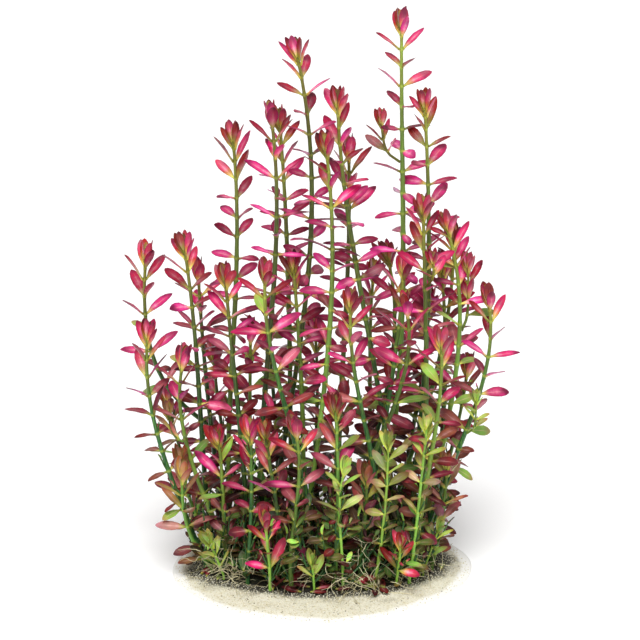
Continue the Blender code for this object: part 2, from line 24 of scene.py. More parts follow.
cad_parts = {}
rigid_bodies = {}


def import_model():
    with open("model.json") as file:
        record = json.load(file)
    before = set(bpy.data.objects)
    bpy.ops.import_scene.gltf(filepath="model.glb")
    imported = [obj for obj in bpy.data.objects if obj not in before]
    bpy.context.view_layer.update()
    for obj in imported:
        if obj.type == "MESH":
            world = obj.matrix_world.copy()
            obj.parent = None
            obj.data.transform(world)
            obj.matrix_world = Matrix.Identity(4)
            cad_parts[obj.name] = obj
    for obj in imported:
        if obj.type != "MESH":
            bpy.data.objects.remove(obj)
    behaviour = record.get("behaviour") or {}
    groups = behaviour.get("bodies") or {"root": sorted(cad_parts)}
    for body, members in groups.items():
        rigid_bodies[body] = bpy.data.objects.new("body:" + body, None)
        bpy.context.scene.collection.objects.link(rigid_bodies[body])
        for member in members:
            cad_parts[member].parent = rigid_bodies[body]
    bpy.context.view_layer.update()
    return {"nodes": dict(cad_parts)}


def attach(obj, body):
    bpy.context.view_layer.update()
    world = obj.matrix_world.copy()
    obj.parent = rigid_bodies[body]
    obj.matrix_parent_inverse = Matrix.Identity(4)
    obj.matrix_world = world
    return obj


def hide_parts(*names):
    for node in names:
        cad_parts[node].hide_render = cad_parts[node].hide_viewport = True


bl_info = {
    "name": "Red stem plant clump",
    "version": (1, 0, 0),
    "blender": (4, 5, 0),
    "location": "View3D > Sidebar > Clump",
    "description": "Dresses the solids of a clump of red stem plants on sand",
    "category": "Object",
}

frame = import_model()

MM = 0.001

# Gap between a shoot and what it grows from
GAP = 0.3

# Sand patch and root mat
SAND_RADIUS = 81.0
SAND_TOP = 3.4
SAND_RIM = 1.0
SAND_FOOT = 0.25
MAT_HALF_SIZE = (69.0, 51.0)
MAT_TOP = 7.2
MAT_RIM = 3.6
MAT_REACH = 1.03
BURIED_DEPTH = 0.9

# Stems
STEM_FOOT_RADIUS = 1.3
STEM_TIP_RADIUS = 0.75
STEM_THICKENS_OVER = 85.0
STEM_SAMPLES = 48
STEM_CURVE_POINTS = 241
STEM_IN_GROUND = 2.2

# A longer shoot has thicker stems and longer leaves: its share is the first
# plus its length over the second, up to 1
LEAST_VIGOUR = 0.62
VIGOUR_LENGTH = 160

# Drawn stems: distance between points, least distance, points beside a node,
# and how far its swelling reaches
STEM_LINE_STEP = 7
STEM_LINE_GAP = 0.35
NODE_POINTS = (-2.0, -0.9, 0.0, 0.9, 2.0)
NODE_REACH = 1.25
STEM_GREENS = (0.0, 0.0, 0.4, 0.9)

# Leaves
LEAF_LENGTH = 18.0
LEAF_WIDTH_SHARE = 0.33
LEAF_WIDEST = 0.6
LEAF_FOLD = 0.16
LEAF_ROOT_HALF_THICKNESS = 0.42
WHORL_SPACING = 10.5

# Leaves near the ground are shorter and rounder: their share of length at the
# ground and the height at which they reach their full length
LOW_LEAF_SHARE = 0.68
LOW_LEAF_TOP = 105.0

# The solids hold every whorl in this share of a shoot below its tip, and one in
# so many lower down
FULL_SHARE = 0.3
THINNED_STEP = 5

# Young whorls from the tip down: number, distance below the tip, leaf length,
# rise in degrees, width share
Whorl = namedtuple("Whorl", "number drop length rise width")
YOUNG_WHORLS = (
    Whorl(0, 0.0, 4.5, 80.0, 0.45),
    Whorl(1, 1.2, 7.5, 76.0, 0.43),
    Whorl(2, 3.0, 10.0, 70.0, 0.39),
    Whorl(3, 6.5, 15.0, 60.0, 0.36),
    Whorl(4, 13.0, 17.0, 50.0, 0.34),
    Whorl(5, 22.0, 18.0, 40.0, 0.33),
    Whorl(6, 32.0, 18.2, 31.0, 0.33),
)
BUD_WHORLS = 3
BUD_HEIGHT = 9.3

# Rise of a leaf in degrees: the steepest, that just below the young whorls, what
# it loses for each further mm down, and the least
STEEPEST = 70.0
GROWN_RISE = 28.0
RISE_LOSS = 0.32
LEAST_RISE = -12.0

# How far a leaf strays from its place, and turns about its length, in degrees
YOUNG_STRAY = 4.0
STRAY = 15.0
LEAF_SWAY = 25

# Blades turn their upper faces towards the light, by this share of the way
LIGHT_WAY = (0.0, -0.75, 0.66)
LIGHT_SHARE = 0.55

# Slender green shoots, with leaves and stems of this share of the usual size
SLENDER_SHARE = 0.74
SLENDER_SHOOTS = ("low_shoot_05", "low_shoot_06", "low_shoot_07", "low_shoot_14", "side_shoot_02")

# Each row: foot (x, y), tip (x, y, z), how far the lower and upper handles of
# the stem's curve lie off its straight line, turn of the top pair of leaves in
# degrees, length of bare stem above the foot
Shoot = namedtuple("Shoot", "name foot tip low high turn bare")
SHOOTS = (
    Shoot("tall_shoot_01", (30, 20), (42, 10, 291), (18, 3, 0), (4, -3, 0), 20, 9),
    Shoot("tall_shoot_02", (-29, 20), (-12, 0, 277), (7, 4, 0), (26, -2, 0), 62, 9),
    Shoot("tall_shoot_03", (41, 15), (9, -5, 252), (10, -3, 0), (-8, 2, 0), 35, 9),
    Shoot("tall_shoot_04", (-31, 10), (-25, -5, 245), (-9, -3, 0), (12, 0, 0), 12, 9),
    Shoot("tall_shoot_05", (-49, 15), (-45, 0, 234), (-7, 3, 0), (8, -3, 0), 48, 9),
    Shoot("tall_shoot_06", (-10, 0), (3, -10, 230), (6, 0, 0), (14, 3, 0), 28, 9),
    Shoot("tall_shoot_07", (47, 25), (54, 5, 250), (10, 2, 0), (9, 4, 0), 55, 9),
    Shoot("tall_shoot_08", (7, 30), (15, 12, 226), (0, -3, 0), (5, 2, 0), 15, 9),
    Shoot("tall_shoot_09", (-16, 35), (-21, 10, 241), (1, 2, 0), (4, 4, 0), 40, 9),
    Shoot("tall_shoot_10", (51, 0), (53, -12, 198), (8, -2, 0), (3, -2, 0), 30, 9),
    Shoot("middle_shoot_01", (-22, 28), (-93, 18, 168), (14, 3, 34), (-36, 2, -64), 25, 105),
    Shoot("middle_shoot_02", (-58, 0), (-71, 0, 176), (-3, 3, 0), (4, -3, 0), 50, 8),
    Shoot("middle_shoot_03", (-51, 10), (-65, 15, 160), (-2, -1, 0), (-3, 3, 0), 10, 8),
    Shoot("middle_shoot_04", (-39, 0), (-49, -15, 163), (3, -3, 0), (0, 3, 0), 38, 8),
    Shoot("middle_shoot_05", (-6, -5), (-28, -20, 166), (13, -2, 0), (-12, 2, 0), 18, 8),
    Shoot("middle_shoot_06", (-61, -14), (-90, -10, 131), (-5, -3, 0), (-15, -3, 0), 45, 8),
    Shoot("middle_shoot_07", (-45, -22), (-72, -5, 117), (-6, 2, 0), (-18, 0, 0), 22, 30),
    Shoot("middle_shoot_08", (-11, 14), (-14, 2, 166), (5, 1, 0), (3, -3, 0), 60, 8),
    Shoot("middle_shoot_09", (27, -15), (16, -25, 152), (17, 3, 0), (-8, -3, 0), 33, 8),
    Shoot("middle_shoot_10", (16, -5), (44, -20, 149), (-14, -3, 0), (22, 0, 0), 5, 8),
    Shoot("middle_shoot_11", (50, -25), (62, -30, 132), (-3, 3, 0), (7, -3, 0), 42, 8),
    Shoot("middle_shoot_12", (54, -5), (88, -5, 150), (-4, -3, 0), (22, 3, 0), 16, 8),
    Shoot("middle_shoot_13", (57, 4), (66, 4, 187), (1, -2, 0), (24, -3, 0), 36, 8),
    Shoot("middle_shoot_14", (60, 15), (65, 17, 162), (6, 2, 0), (7, 3, 0), 64, 8),
    Shoot("middle_shoot_15", (21, 5), (44, 0, 165), (3, -4, 0), (5, -2, 0), 26, 8),
    Shoot("middle_shoot_16", (15, 25), (36, 21, 168), (6, 3, 0), (21, 1, 0), 52, 8),
    Shoot("middle_shoot_17", (-37, 18), (-37, 6, 129), (-2, 0, 0), (-1, 3, 0), 8, 8),
    Shoot("low_shoot_01", (-38, -34), (-36, -31, 85), (1, 2, 0), (2, -2, 0), 30, 6),
    Shoot("low_shoot_02", (-19, -33), (-28, -39, 86), (3, -2, 0), (0, 1, 0), 55, 6),
    Shoot("low_shoot_03", (-15, -39), (-13, -45, 91), (-3, 2, 0), (8, -1, 0), 20, 6),
    Shoot("low_shoot_04", (7, -41), (8, -36, 99), (3, -2, 0), (2, 2, 0), 44, 6),
    Shoot("low_shoot_05", (12, -43), (13, -49, 71), (0, 2, 0), (-6, -1, 0), 12, 22),
    Shoot("low_shoot_06", (29, -36), (35, -40, 82), (2, 1, 0), (2, -2, 0), 36, 6),
    Shoot("low_shoot_07", (47, -32), (55, -38, 90), (1, -2, 0), (0, 2, 0), 58, 6),
    Shoot("low_shoot_08", (-58, -17), (-72, -25, 61), (-10, 1, 0), (-6, -1, 0), 24, 6),
    Shoot("low_shoot_09", (60, -13), (67, -18, 63), (2, -1, 0), (2, 1, 0), 48, 6),
    Shoot("low_shoot_10", (-26, -43), (-28, -50, 43), (1, 1, 0), (0, -1, 0), 15, 5),
    Shoot("low_shoot_11", (40, -37), (42, -46, 29), (0, 0, 0), (0, 0, 0), 40, 5),
    Shoot("low_shoot_12", (-51, -27), (-58, -33, 26), (0, 0, 0), (0, 0, 0), 60, 5),
    Shoot("low_shoot_13", (-3, -46), (-4, -52, 22), (0, 0, 0), (0, 0, 0), 28, 5),
    Shoot("low_shoot_14", (55, -21), (63, -27, 32), (0, 0, 0), (0, 0, 0), 10, 5),
    Shoot("low_shoot_15", (-58, -8), (-73, -13, 64), (0, 1, 0), (-5, 0, 0), 52, 6),
    Shoot("low_shoot_16", (21, -29), (24, -34, 62), (0, 1, 0), (2, 0, 0), 26, 6),
    Shoot("low_shoot_17", (-49, -11), (-53, -23, 78), (-2, -1, 0), (1, 2, 0), 57, 6),
    Shoot("back_shoot_01", (-42, 30), (-59, 42, 108), (-3, 3, 0), (-4, 2, 0), 34, 8),
    Shoot("back_shoot_02", (-24, 44), (-31, 56, 132), (4, 3, 0), (2, 2, 0), 14, 8),
    Shoot("back_shoot_03", (0, 45), (-3, 60, 118), (-4, 2, 0), (3, 3, 0), 46, 8),
    Shoot("back_shoot_04", (25, 43), (30, 56, 152), (5, 2, 0), (-3, 3, 0), 26, 8),
    Shoot("back_shoot_05", (43, 33), (60, 46, 138), (-2, 3, 0), (6, 2, 0), 56, 8),
    Shoot("back_shoot_06", (57, 18), (81, 30, 104), (2, 2, 0), (5, 1, 0), 18, 8),
    Shoot("back_shoot_07", (-57, 14), (-84, 26, 88), (-3, 2, 0), (-4, 2, 0), 42, 8),
    Shoot("back_shoot_08", (34, 30), (72, 26, 176), (8, 2, 0), (14, 2, 0), 38, 8),
    Shoot("back_shoot_09", (10, 42), (13, 48, 84), (1, 2, 0), (-2, 1, 0), 12, 8),
)

# Each row: parent, height of its foot on the parent, then as for a shoot
SideShoot = namedtuple("SideShoot", "name parent height tip low high turn bare")
SIDE_SHOOTS = (
    SideShoot("side_shoot_01", "tall_shoot_01", 220, (32, 5, 242), (-4, 0, -4), (-3, 0, -6), 30, 4),
    SideShoot("side_shoot_02", "middle_shoot_12", 78, (82, -13, 98), (3, 0, -5), (2, 0, -6), 50, 4),
    SideShoot("side_shoot_03", "middle_shoot_13", 131, (78, 6, 166), (3, 0, -6), (2, 0, -8), 20, 4),
    SideShoot("side_shoot_04", "middle_shoot_07", 74, (-80, -10, 90), (-3, 0, -4), (-2, 0, -5), 60, 3),
    SideShoot("side_shoot_05", "tall_shoot_10", 156, (58, -20, 173), (2, 0, -4), (2, 0, -4), 44, 3),
)

# Changes tried for a leaf that has no room: turn, rise, share of its length
TRIES = (
    (0, 0, 1.0),
    (18, 0, 1.0),
    (-18, 0, 1.0),
    (0, 20, 1.0),
    (0, -20, 1.0),
    (36, 0, 1.0),
    (-36, 0, 1.0),
    (0, 34, 1.0),
    (0, -34, 1.0),
    (18, 20, 0.85),
    (-18, 20, 0.85),
    (24, -18, 0.8),
    (-24, -18, 0.8),
    (0, 0, 0.65),
    (0, 30, 0.6),
)

# Room kept round leaves, stems and the ground, the shapes that stand for a leaf
# and a bud in that, and the cells by which neighbours are found
LEAF_ROOM = 0.2
STEM_ROOM = 0.5
GROUND_ROOM = 0.4
ENVELOPE_STATIONS = (0.0, 0.3, 0.6, 0.86)
ENVELOPE_ROOT_SHARE = 0.5
BUD_SPREAD = 3.7
CELL = 20.0
STEM_NUMBER = -9

# Young leaves round each tip, from the inner pair out: distance below the tip,
# length, rise in degrees, width share, inward curve
BudPair = namedtuple("BudPair", "drop length rise width bend")
BUD_PAIRS = (
    BudPair(0.2, 6.0, 86.0, 0.4, -0.04),
    BudPair(0.8, 8.6, 79.0, 0.42, -0.11),
    BudPair(2.2, 11.2, 72.0, 0.4, -0.15),
    BudPair(4.0, 13.2, 65.0, 0.38, -0.13),
)

# Leaves that the solids leave out hang more loosely, by up to this many degrees
LEAF_ROLL = 22.0

# Stations along a drawn leaf, and its thickness there times that of the blade
LEAF_STATIONS = (0.0, 0.12, 0.28, 0.46, 0.66, 0.84, 0.95, 1.0)
LEAF_THICKNESS = (2.4, 2.0, 1.5, 1.2, 1.0, 0.85, 0.6, 0.0)
LEAF_UPPER_COLUMNS = (-1.0, -0.5, 0.0, 0.5, 1.0)
LEAF_LOWER_COLUMNS = (-0.45, 0.0, 0.45)
LEAF_STALK_SHARE = 0.2
RIB_DEPTH = 2.2
VEINS = 9

# Heights between which the deep shade inside the clump ends
LEAF_SHADE = (20, 190)
STEM_SHADE = (10, 190)

# Young side growth in the leaf axils and from the feet, which fills the foot of the clump
AXIL_TOP = 135.0
AXIL_CHANCE_LOW = 0.7
AXIL_CHANCE_HIGH = 0.14
AXIL_LEAF = (4.0, 9.0)
TWIG_LENGTH = (2.0, 9.0)
TWIG_RADIUS = 0.42
TWIG_STEPS = 5
TWIG_RISE = 0.16
TWIG_LEAF_WIDTH = 0.4
TWIG_END_SHARE = 0.6
TWIG_LEAN = (38, 66)
SPROUTS_PER_FOOT = 10
SPROUT_LENGTH = (8.0, 40.0)
SPROUT_LEAF = (7.5, 12.5)
SPROUT_PAIR_SPACING = 5.2
SPROUT_LIMIT = 1.06
SPROUT_LEAN = (12, 78)
SPROUT_FOOT = (0.5, 4)
SPROUT_GREENS = (0.0, 0.0, 0.3, 0.6, 0.8, 1.0)

# Shoots with greener leaves, by share, and those that are bright red to the foot
GREEN_SHOOTS = {
    "low_shoot_05": 0.95,
    "low_shoot_06": 0.85,
    "low_shoot_07": 0.8,
    "low_shoot_08": 0.4,
    "low_shoot_09": 0.35,
    "low_shoot_12": 0.85,
    "low_shoot_13": 0.85,
    "low_shoot_14": 0.9,
    "low_shoot_15": 0.3,
    "low_shoot_16": 0.2,
    "side_shoot_02": 0.9,
    "side_shoot_04": 0.3,
    "back_shoot_09": 0.5,
}
BRIGHT_SHOOTS = ("low_shoot_10", "low_shoot_11")

# Tangles of loose roots round the feet: centre, spread, height, number
Tangle = namedtuple("Tangle", "x y spread height count")
TANGLES = (
    Tangle(-55, -28, 8, 20, 34),
    Tangle(-44, -40, 9, 14, 34),
    Tangle(-12, -44, 7, 26, 16),
    Tangle(-6, -36, 8, 32, 14),
    Tangle(22, -42, 7, 24, 20),
    Tangle(17, -50, 8, 9, 24),
    Tangle(27, -48, 7, 8, 14),
    Tangle(44, -34, 6, 14, 12),
    Tangle(58, -26, 6, 10, 10),
    Tangle(-30, 46, 8, 10, 12),
    Tangle(20, 46, 8, 10, 12),
    Tangle(60, 12, 7, 10, 10),
    Tangle(-62, 8, 7, 12, 10),
)
ROOTS_PER_FOOT = 4

# Loose roots at a foot and in a tangle: length, thickness, age, how fast they sink
Root = namedtuple("Root", "length thickness age sink")
FOOT_ROOT = Root((8, 22), (0.14, 0.24), (0, 0.6), 0.12)
TANGLE_ROOT = Root((9, 20), (0.15, 0.25), (0, 0.4), 0.03)
ROOT_STEP = 1.6
ROOT_SHAKE = 0.42
ROOT_TAPER = 0.55
ROOT_SIDES = 4

FALLEN_LEAVES = 210
FALLEN_LEAF = (8, 14)
FALLEN_WIDTH = 0.36
FALLEN_HEIGHT = (0.6, 2.6)

# Rings and sectors of the meshes of the ground
SAND_MESH = (46, 160)
MAT_MESH = (40, 180)
GRAIN_MESH = (18, 90)
SCATTER_SEED = 7
GRAINS_FROM = 0.9
GRAINS_RIM_GAP = 0.6
GRAINS_OVER_SAND = 0.12

# Floor in metres, light and camera
FLOOR_HALF_SIZE = 14.0
KEY_SPREAD = 38.0
KEY_WAY = (0.05, 0.7, -1.0)
CAMERA_PLACE = (0, -0.9, 0.34)
CAMERA_DIP = 12.7
CAMERA_SENSOR = 36.0
CAMERA_LENS = 98.27

# Settings that many nodes share
SMOOTH = {"interpolation_type": "SMOOTHSTEP"}
MIX = {"data_type": "RGBA"}
WHITE = (1, 1, 1, 1)

Stem = namedtuple("Stem", "name points tangents easts length turn bare vigour grounded")
Blade = namedtuple("Blade", "root along side normal length half_width bend skew")
Leaf = namedtuple("Leaf", "drop blade")
Dressed = namedtuple("Dressed", "blade look")
Line = namedtuple("Line", "points radii marks looks")


def linear_colour(hexadecimal):
    """Linear RGBA of an sRGB hexadecimal colour."""
    channels = [int(hexadecimal[i:i + 2], 16) / 255 for i in (0, 2, 4)]
    flat = [c / 12.92 if c <= 0.04045 else ((c + 0.055) / 1.055) ** 2.4 for c in channels]
    return (*flat, 1.0)


def colour(name, description, hexadecimal):
    return FloatVectorProperty(
        name=name,
        description=description,
        subtype="COLOR",
        size=4,
        min=0.0,
        max=1.0,
        default=linear_colour(hexadecimal),
    )


def size(name, description, millimetres):
    return FloatProperty(
        name=name, description=description, unit="LENGTH", min=0.0, default=millimetres * MM
    )


class LeafSettings(bpy.types.PropertyGroup):
    """Sizes and colours of the leaves"""

    thickness: size("Blade thickness", "Half thickness of a leaf beside its rib", 0.16)
    ripple: FloatProperty(
        name="Ripple", description="Waves along the edge, as a share of width", default=0.05
    )
    young: colour("Young", "Leaves at a tip, still orange", "AC2C24")
    crimson: colour("Crimson", "Leaves just below a tip", "C61A50")
    pink: colour("Pink", "Full-grown leaves in the light", "C02A6E")
    wine: colour("Wine", "Older leaves in half shade", "A8303A")
    # The old colour is deepened as painted shade at the foot of the clump
    old: colour("Old", "The lowest leaves", "381C17")
    under_young: colour("Young underside", "Underside of a leaf at a tip", "AE2F35")
    under_crimson: colour("Crimson underside", "Underside of a leaf just below a tip", "C62870")
    # The pink underside is painted lighter and more violet, as a glow of light shining through the blade
    under_pink: colour("Pink underside", "Underside of a leaf in the light", "CC40AA")
    under_wine: colour("Wine underside", "Underside of an older leaf", "98464A")
    # The old underside is deepened as painted shade at the foot of the clump
    under_old: colour("Old underside", "Underside of an old leaf", "3C2122")
    # The pale middle of a blade where the pigment is thin, lightened further as a painted highlight
    pale_middle_and_highlight: colour("Blush", "Where the pigment is thin", "F8A4BE")
    green: colour("Green", "Leaves that stay green", "92D458")
    olive: colour("Olive", "Old leaves of a green shoot", "4E8030")
    foot: colour("Foot", "The narrow foot of a leaf", "BECA50")
    rib: colour("Rib", "The pale middle rib", "F0B8A8")
    edge: colour("Edge", "The dark rim and tip", "4A0C22")


class StemSettings(bpy.types.PropertyGroup):
    """Sizes and colours of the stems"""

    sides: IntProperty(name="Sides", description="Sides of a stem", default=8, min=4)
    swelling: FloatProperty(
        name="Swelling", description="How much thicker a stem is at a node", default=0.24
    )
    tip: colour("Tip", "Stem just below a tip", "8C8A34")
    upper: colour("Upper", "Stem in the light", "586A28")
    lower: colour("Lower", "Stem in the shade", "2C602C")
    # The foot colour, the stem's darkest, is old stem with painted shade at the ground
    foot: colour("Foot", "Stem at the ground", "20502C")
    lime: colour("Lime", "The lightest stems and streaks", "9CCB50")
    blotch: colour("Blotch", "Reddish places", "6E4A2C")
    node: colour("Node", "The ring where leaves grow", "C0CC50")


class GroundSettings(bpy.types.PropertyGroup):
    """Sizes and colours of the sand, the roots and what has fallen on them"""

    grain: size("Grain", "Mean radius of a loose grain", 0.38)
    grain_density: FloatProperty(
        name="Grain density", description="Loose grains per square metre", default=520000.0
    )
    pale: colour("Pale grains", "Most of the sand", "E0DCC9")
    tan: colour("Tan grains", "Some of the sand", "C4BA98")
    dark: colour("Dark grains", "A few grains", "4B4433")
    dust: colour("Dust", "Fine pale dust at the rim", "F6F5F0")
    # The mat colours are deepened with painted shade between the feet; the sand's painted shadow uses the mat
    # colour too
    mat: colour("Root mat", "Old roots and mulm", "1C190F")
    mat_green: colour("Green mulm", "Green parts of the root mat", "2C3419")
    root_pale: colour("Young roots", "Fresh roots", "EAE2B8")
    root_brown: colour("Old roots", "Old roots", "6E5F38")


class StageSettings(bpy.types.PropertyGroup):
    """The floor and the light"""

    floor: colour("Floor", "The pale floor", "F7F7F6")
    sky: FloatProperty(name="Sky", description="Strength of the even light from above", default=0.3)
    key: FloatProperty(name="Key", description="Strength of the wide key light", default=3.35)


def wavy(angle, parts):
    """1 plus a sum of small waves round a circle, for an irregular rim."""
    return 1.0 + sum(height * math.sin(count * angle + phase) for count, height, phase in parts)


def sand_rim(angle):
    return SAND_RADIUS * wavy(angle, ((3, 0.012, 1.0), (5, 0.01, 2.2), (8, 0.006, 0.4)))


def mat_rim(angle):
    half_x, half_y = MAT_HALF_SIZE
    ellipse = half_x * half_y / math.hypot(half_y * math.cos(angle), half_x * math.sin(angle))
    return ellipse * wavy(angle, ((4, 0.02, 0.7), (7, 0.018, 2.0), (11, 0.01, 1.1)))


def share_of_rim(x, y, rim):
    """0 in the middle and 1 on the rim."""
    return math.hypot(x, y) / rim(math.atan2(y, x))


def sand_height(x, y):
    return SAND_TOP - (SAND_TOP - SAND_RIM) * share_of_rim(x, y, sand_rim) ** 2


def mat_height(x, y):
    return MAT_TOP - (MAT_TOP - MAT_RIM) * share_of_rim(x, y, mat_rim) ** 2


def ground_height(x, y):
    """Top of the mat, the sand or the surface under them."""
    if share_of_rim(x, y, mat_rim) <= MAT_REACH:
        return mat_height(x, y)
    if share_of_rim(x, y, sand_rim) <= 1.0:
        return sand_height(x, y)
    return 0.0


def even_points(curve, count):
    """Points at equal distances along a polyline, and its length."""
    lengths = [0.0]
    for start, end in zip(curve, curve[1:]):
        lengths.append(lengths[-1] + (end - start).length)
    points = []
    index = 0
    for step in range(count + 1):
        target = lengths[-1] * step / count
        while index < len(curve) - 2 and lengths[index + 1] < target:
            index += 1
        share = (target - lengths[index]) / (lengths[index + 1] - lengths[index])
        points.append(curve[index].lerp(curve[index + 1], share))
    return points, lengths[-1]


def make_stem(row, foot, grounded):
    """The stem's centre line from foot to tip, with its directions."""
    tip = Vector(row.tip)
    low = foot.lerp(tip, 1 / 3) + Vector(row.low)
    high = foot.lerp(tip, 2 / 3) + Vector(row.high)
    curve = interpolate_bezier(foot, low, high, tip, STEM_CURVE_POINTS)
    points, length = even_points(curve, STEM_SAMPLES)
    tangents = []
    for i in range(len(points)):
        before = points[max(i - 1, 0)]
        after = points[min(i + 1, STEM_SAMPLES)]
        tangents.append((after - before).normalized())
    east = Vector((1, 0, 0))
    easts = []
    for tangent in reversed(tangents):
        east = (east - tangent * east.dot(tangent)).normalized()
        easts.append(east)
    vigour = min(1.0, LEAST_VIGOUR + length / VIGOUR_LENGTH)
    if row.name in SLENDER_SHOOTS:
        vigour *= SLENDER_SHARE
    return Stem(row.name, points, tangents, easts[::-1], length, row.turn, row.bare, vigour, grounded)


def frame_at(stem, drop):
    """Centre, upward, eastward and northward directions at a distance below the tip."""
    place = (1 - drop / stem.length) * STEM_SAMPLES
    index = min(max(int(place), 0), STEM_SAMPLES - 1)
    share = place - index
    centre = stem.points[index].lerp(stem.points[index + 1], share)
    upward = stem.tangents[index].lerp(stem.tangents[index + 1], share).normalized()
    east = stem.easts[index].lerp(stem.easts[index + 1], share)
    east = (east - upward * east.dot(upward)).normalized()
    return centre, upward, east, upward.cross(east)


def stem_radius(stem, drop):
    share = min(1.0, drop / STEM_THICKENS_OVER)
    return stem.vigour * (STEM_TIP_RADIUS + (STEM_FOOT_RADIUS - STEM_TIP_RADIUS) * share)


def outward(frame_here, degrees):
    """Direction square to the stem at an angle round it."""
    angle = math.radians(degrees)
    return frame_here[2] * math.cos(angle) + frame_here[3] * math.sin(angle)


def leaf_outline(u):
    """Half width of a leaf at a share of its length, 1 at its widest."""
    before, after = 0.9, 0.6
    widest = LEAF_WIDEST ** before * (1 - LEAF_WIDEST) ** after
    return u ** before * max(0.0, 1 - u) ** after / widest


def full_outline(u):
    """As leaf_outline, with the sides of a real leaf, which is widest nearer its middle."""
    before, after = 0.95, 0.72
    widest = before / (before + after)
    return u ** before * max(0.0, 1 - u) ** after / (widest ** before * (1 - widest) ** after)


def blade_point(blade, u, v):
    """Point of a leaf at u along it and v across it, from -1 to 1."""
    half = blade.half_width * leaf_outline(u)
    along = blade.along * (blade.length * u)
    across = blade.side * (half * v + blade.skew * blade.length * u * u)
    lift = blade.normal * (LEAF_FOLD * half * abs(v) - blade.bend * blade.length * u * u)
    return blade.root + along + across + lift


def whorls_of(stem):
    """Every whorl of a shoot, from its tip down to its bare foot."""
    last = stem.length - stem.bare
    for whorl in YOUNG_WHORLS:
        if whorl.drop * stem.vigour <= last:
            yield whorl._replace(drop=whorl.drop * stem.vigour)
    chance = random.Random(stem.name)
    number = len(YOUNG_WHORLS)
    drop = (YOUNG_WHORLS[-1].drop + WHORL_SPACING) * stem.vigour
    while drop <= last:
        rise = max(LEAST_RISE, GROWN_RISE - RISE_LOSS * (drop - YOUNG_WHORLS[-1].drop))
        height = frame_at(stem, drop)[0].z
        share = min(1.0, LOW_LEAF_SHARE + (1 - LOW_LEAF_SHARE) * height / LOW_LEAF_TOP)
        length = LEAF_LENGTH * chance.uniform(0.86, 1.06) * share
        yield Whorl(number, drop, length, rise, LEAF_WIDTH_SHARE / share)
        number += 1
        drop += WHORL_SPACING * chance.uniform(0.88, 1.14) * stem.vigour


def is_solid_whorl(stem, whorl):
    """Whether the solids hold a whorl as leaves: all near the tip, and some below."""
    if whorl.number < BUD_WHORLS:
        return False
    if whorl.drop <= FULL_SHARE * stem.length:
        return True
    return whorl.number % THINNED_STEP == 0


def turn_to_light(along, side):
    """How far, in degrees, a leaf rolls about its length to face the light."""
    light = Vector(LIGHT_WAY)
    facing = max(light.dot(along.cross(side)), 0.35)
    return -LIGHT_SHARE * math.degrees(math.atan2(light.dot(side), facing))


def leaf_blade(stem, whorl, corner, change):
    """A leaf of a whorl, at one corner of the stem, with a change of turn, rise and length."""
    chance = random.Random(f"{stem.name} {whorl.number} {corner}")
    here = frame_at(stem, whorl.drop)
    radius = stem_radius(stem, whorl.drop)
    root_turn = stem.turn + 90 * corner
    stray = YOUNG_STRAY if whorl.number < 4 else STRAY
    turn = root_turn + chance.uniform(-stray, stray) + change[0]
    rise = math.radians(min(whorl.rise + chance.uniform(-stray, stray) + change[1], STEEPEST))
    out = outward(here, turn)
    side = here[1].cross(out)
    along = out * math.cos(rise) + here[1] * math.sin(rise)
    loose = min(1.0, 0.2 + 0.25 * (whorl.number - BUD_WHORLS))
    roll = loose * (chance.uniform(-LEAF_SWAY, LEAF_SWAY) + turn_to_light(along, side))
    side = Matrix.Rotation(math.radians(roll), 3, along) @ side
    length = whorl.length * stem.vigour * chance.uniform(0.84, 1.1) * change[2]
    bend = chance.uniform(0.02, 0.09) if whorl.number < 6 else chance.uniform(0.07, 0.19)
    return Blade(
        root=here[0] + outward(here, root_turn) * radius,
        along=along,
        side=side,
        normal=along.cross(side),
        length=length,
        half_width=length * whorl.width / 2,
        bend=bend,
        skew=chance.uniform(-0.04, 0.04),
    )


def leaf_envelope(blade):
    """A closed shape a little larger than a leaf, as a tree for finding collisions, and its points."""
    points = []
    for u in ENVELOPE_STATIONS:
        thick = LEAF_ROOT_HALF_THICKNESS * (1 - u) + LEAF_ROOM
        sag = blade.bend * blade.length * (u - u * u)
        kite = min(ENVELOPE_ROOT_SHARE + (1 - ENVELOPE_ROOT_SHARE) * u / LEAF_WIDEST, 1.0)
        half = blade.half_width * max(leaf_outline(u), kite if u <= LEAF_WIDEST else 0.0) + LEAF_ROOM
        middle = blade_point(blade, u, 0)
        edge = middle + blade.normal * (LEAF_FOLD * half)
        points.append(edge + blade.side * half)
        points.append(middle + blade.normal * thick)
        points.append(edge - blade.side * half)
        points.append(middle - blade.normal * (thick + sag))
    points.append(blade_point(blade, 1, 0) + blade.along * LEAF_ROOM)
    faces = [(0, 1, 2, 3)]
    last = len(points) - 1
    for i in range(4):
        j = (i + 1) % 4
        for ring in range(0, last - 4, 4):
            faces.append((ring + i, ring + j, ring + 4 + j, ring + 4 + i))
        faces.append((last - 4 + i, last - 4 + j, last))
    return BVHTree.FromPolygons(points, faces), points


def stem_pieces(stem):
    """Short tubes round a stem, a little wider than it, for finding collisions."""
    step = 4
    for start in range(0, STEM_SAMPLES, step):
        rings = []
        for index in (start, start + step):
            drop = stem.length * (1 - index / STEM_SAMPLES)
            here = frame_at(stem, drop)
            radius = stem_radius(stem, drop) + STEM_ROOM
            rings.append([here[0] + outward(here, 60 * i) * radius for i in range(6)])
        faces = [(i, (i + 1) % 6, 6 + (i + 1) % 6, 6 + i) for i in range(6)]
        faces += [tuple(range(6)), tuple(range(6, 12))]
        points = rings[0] + rings[1]
        yield BVHTree.FromPolygons(points, faces), points


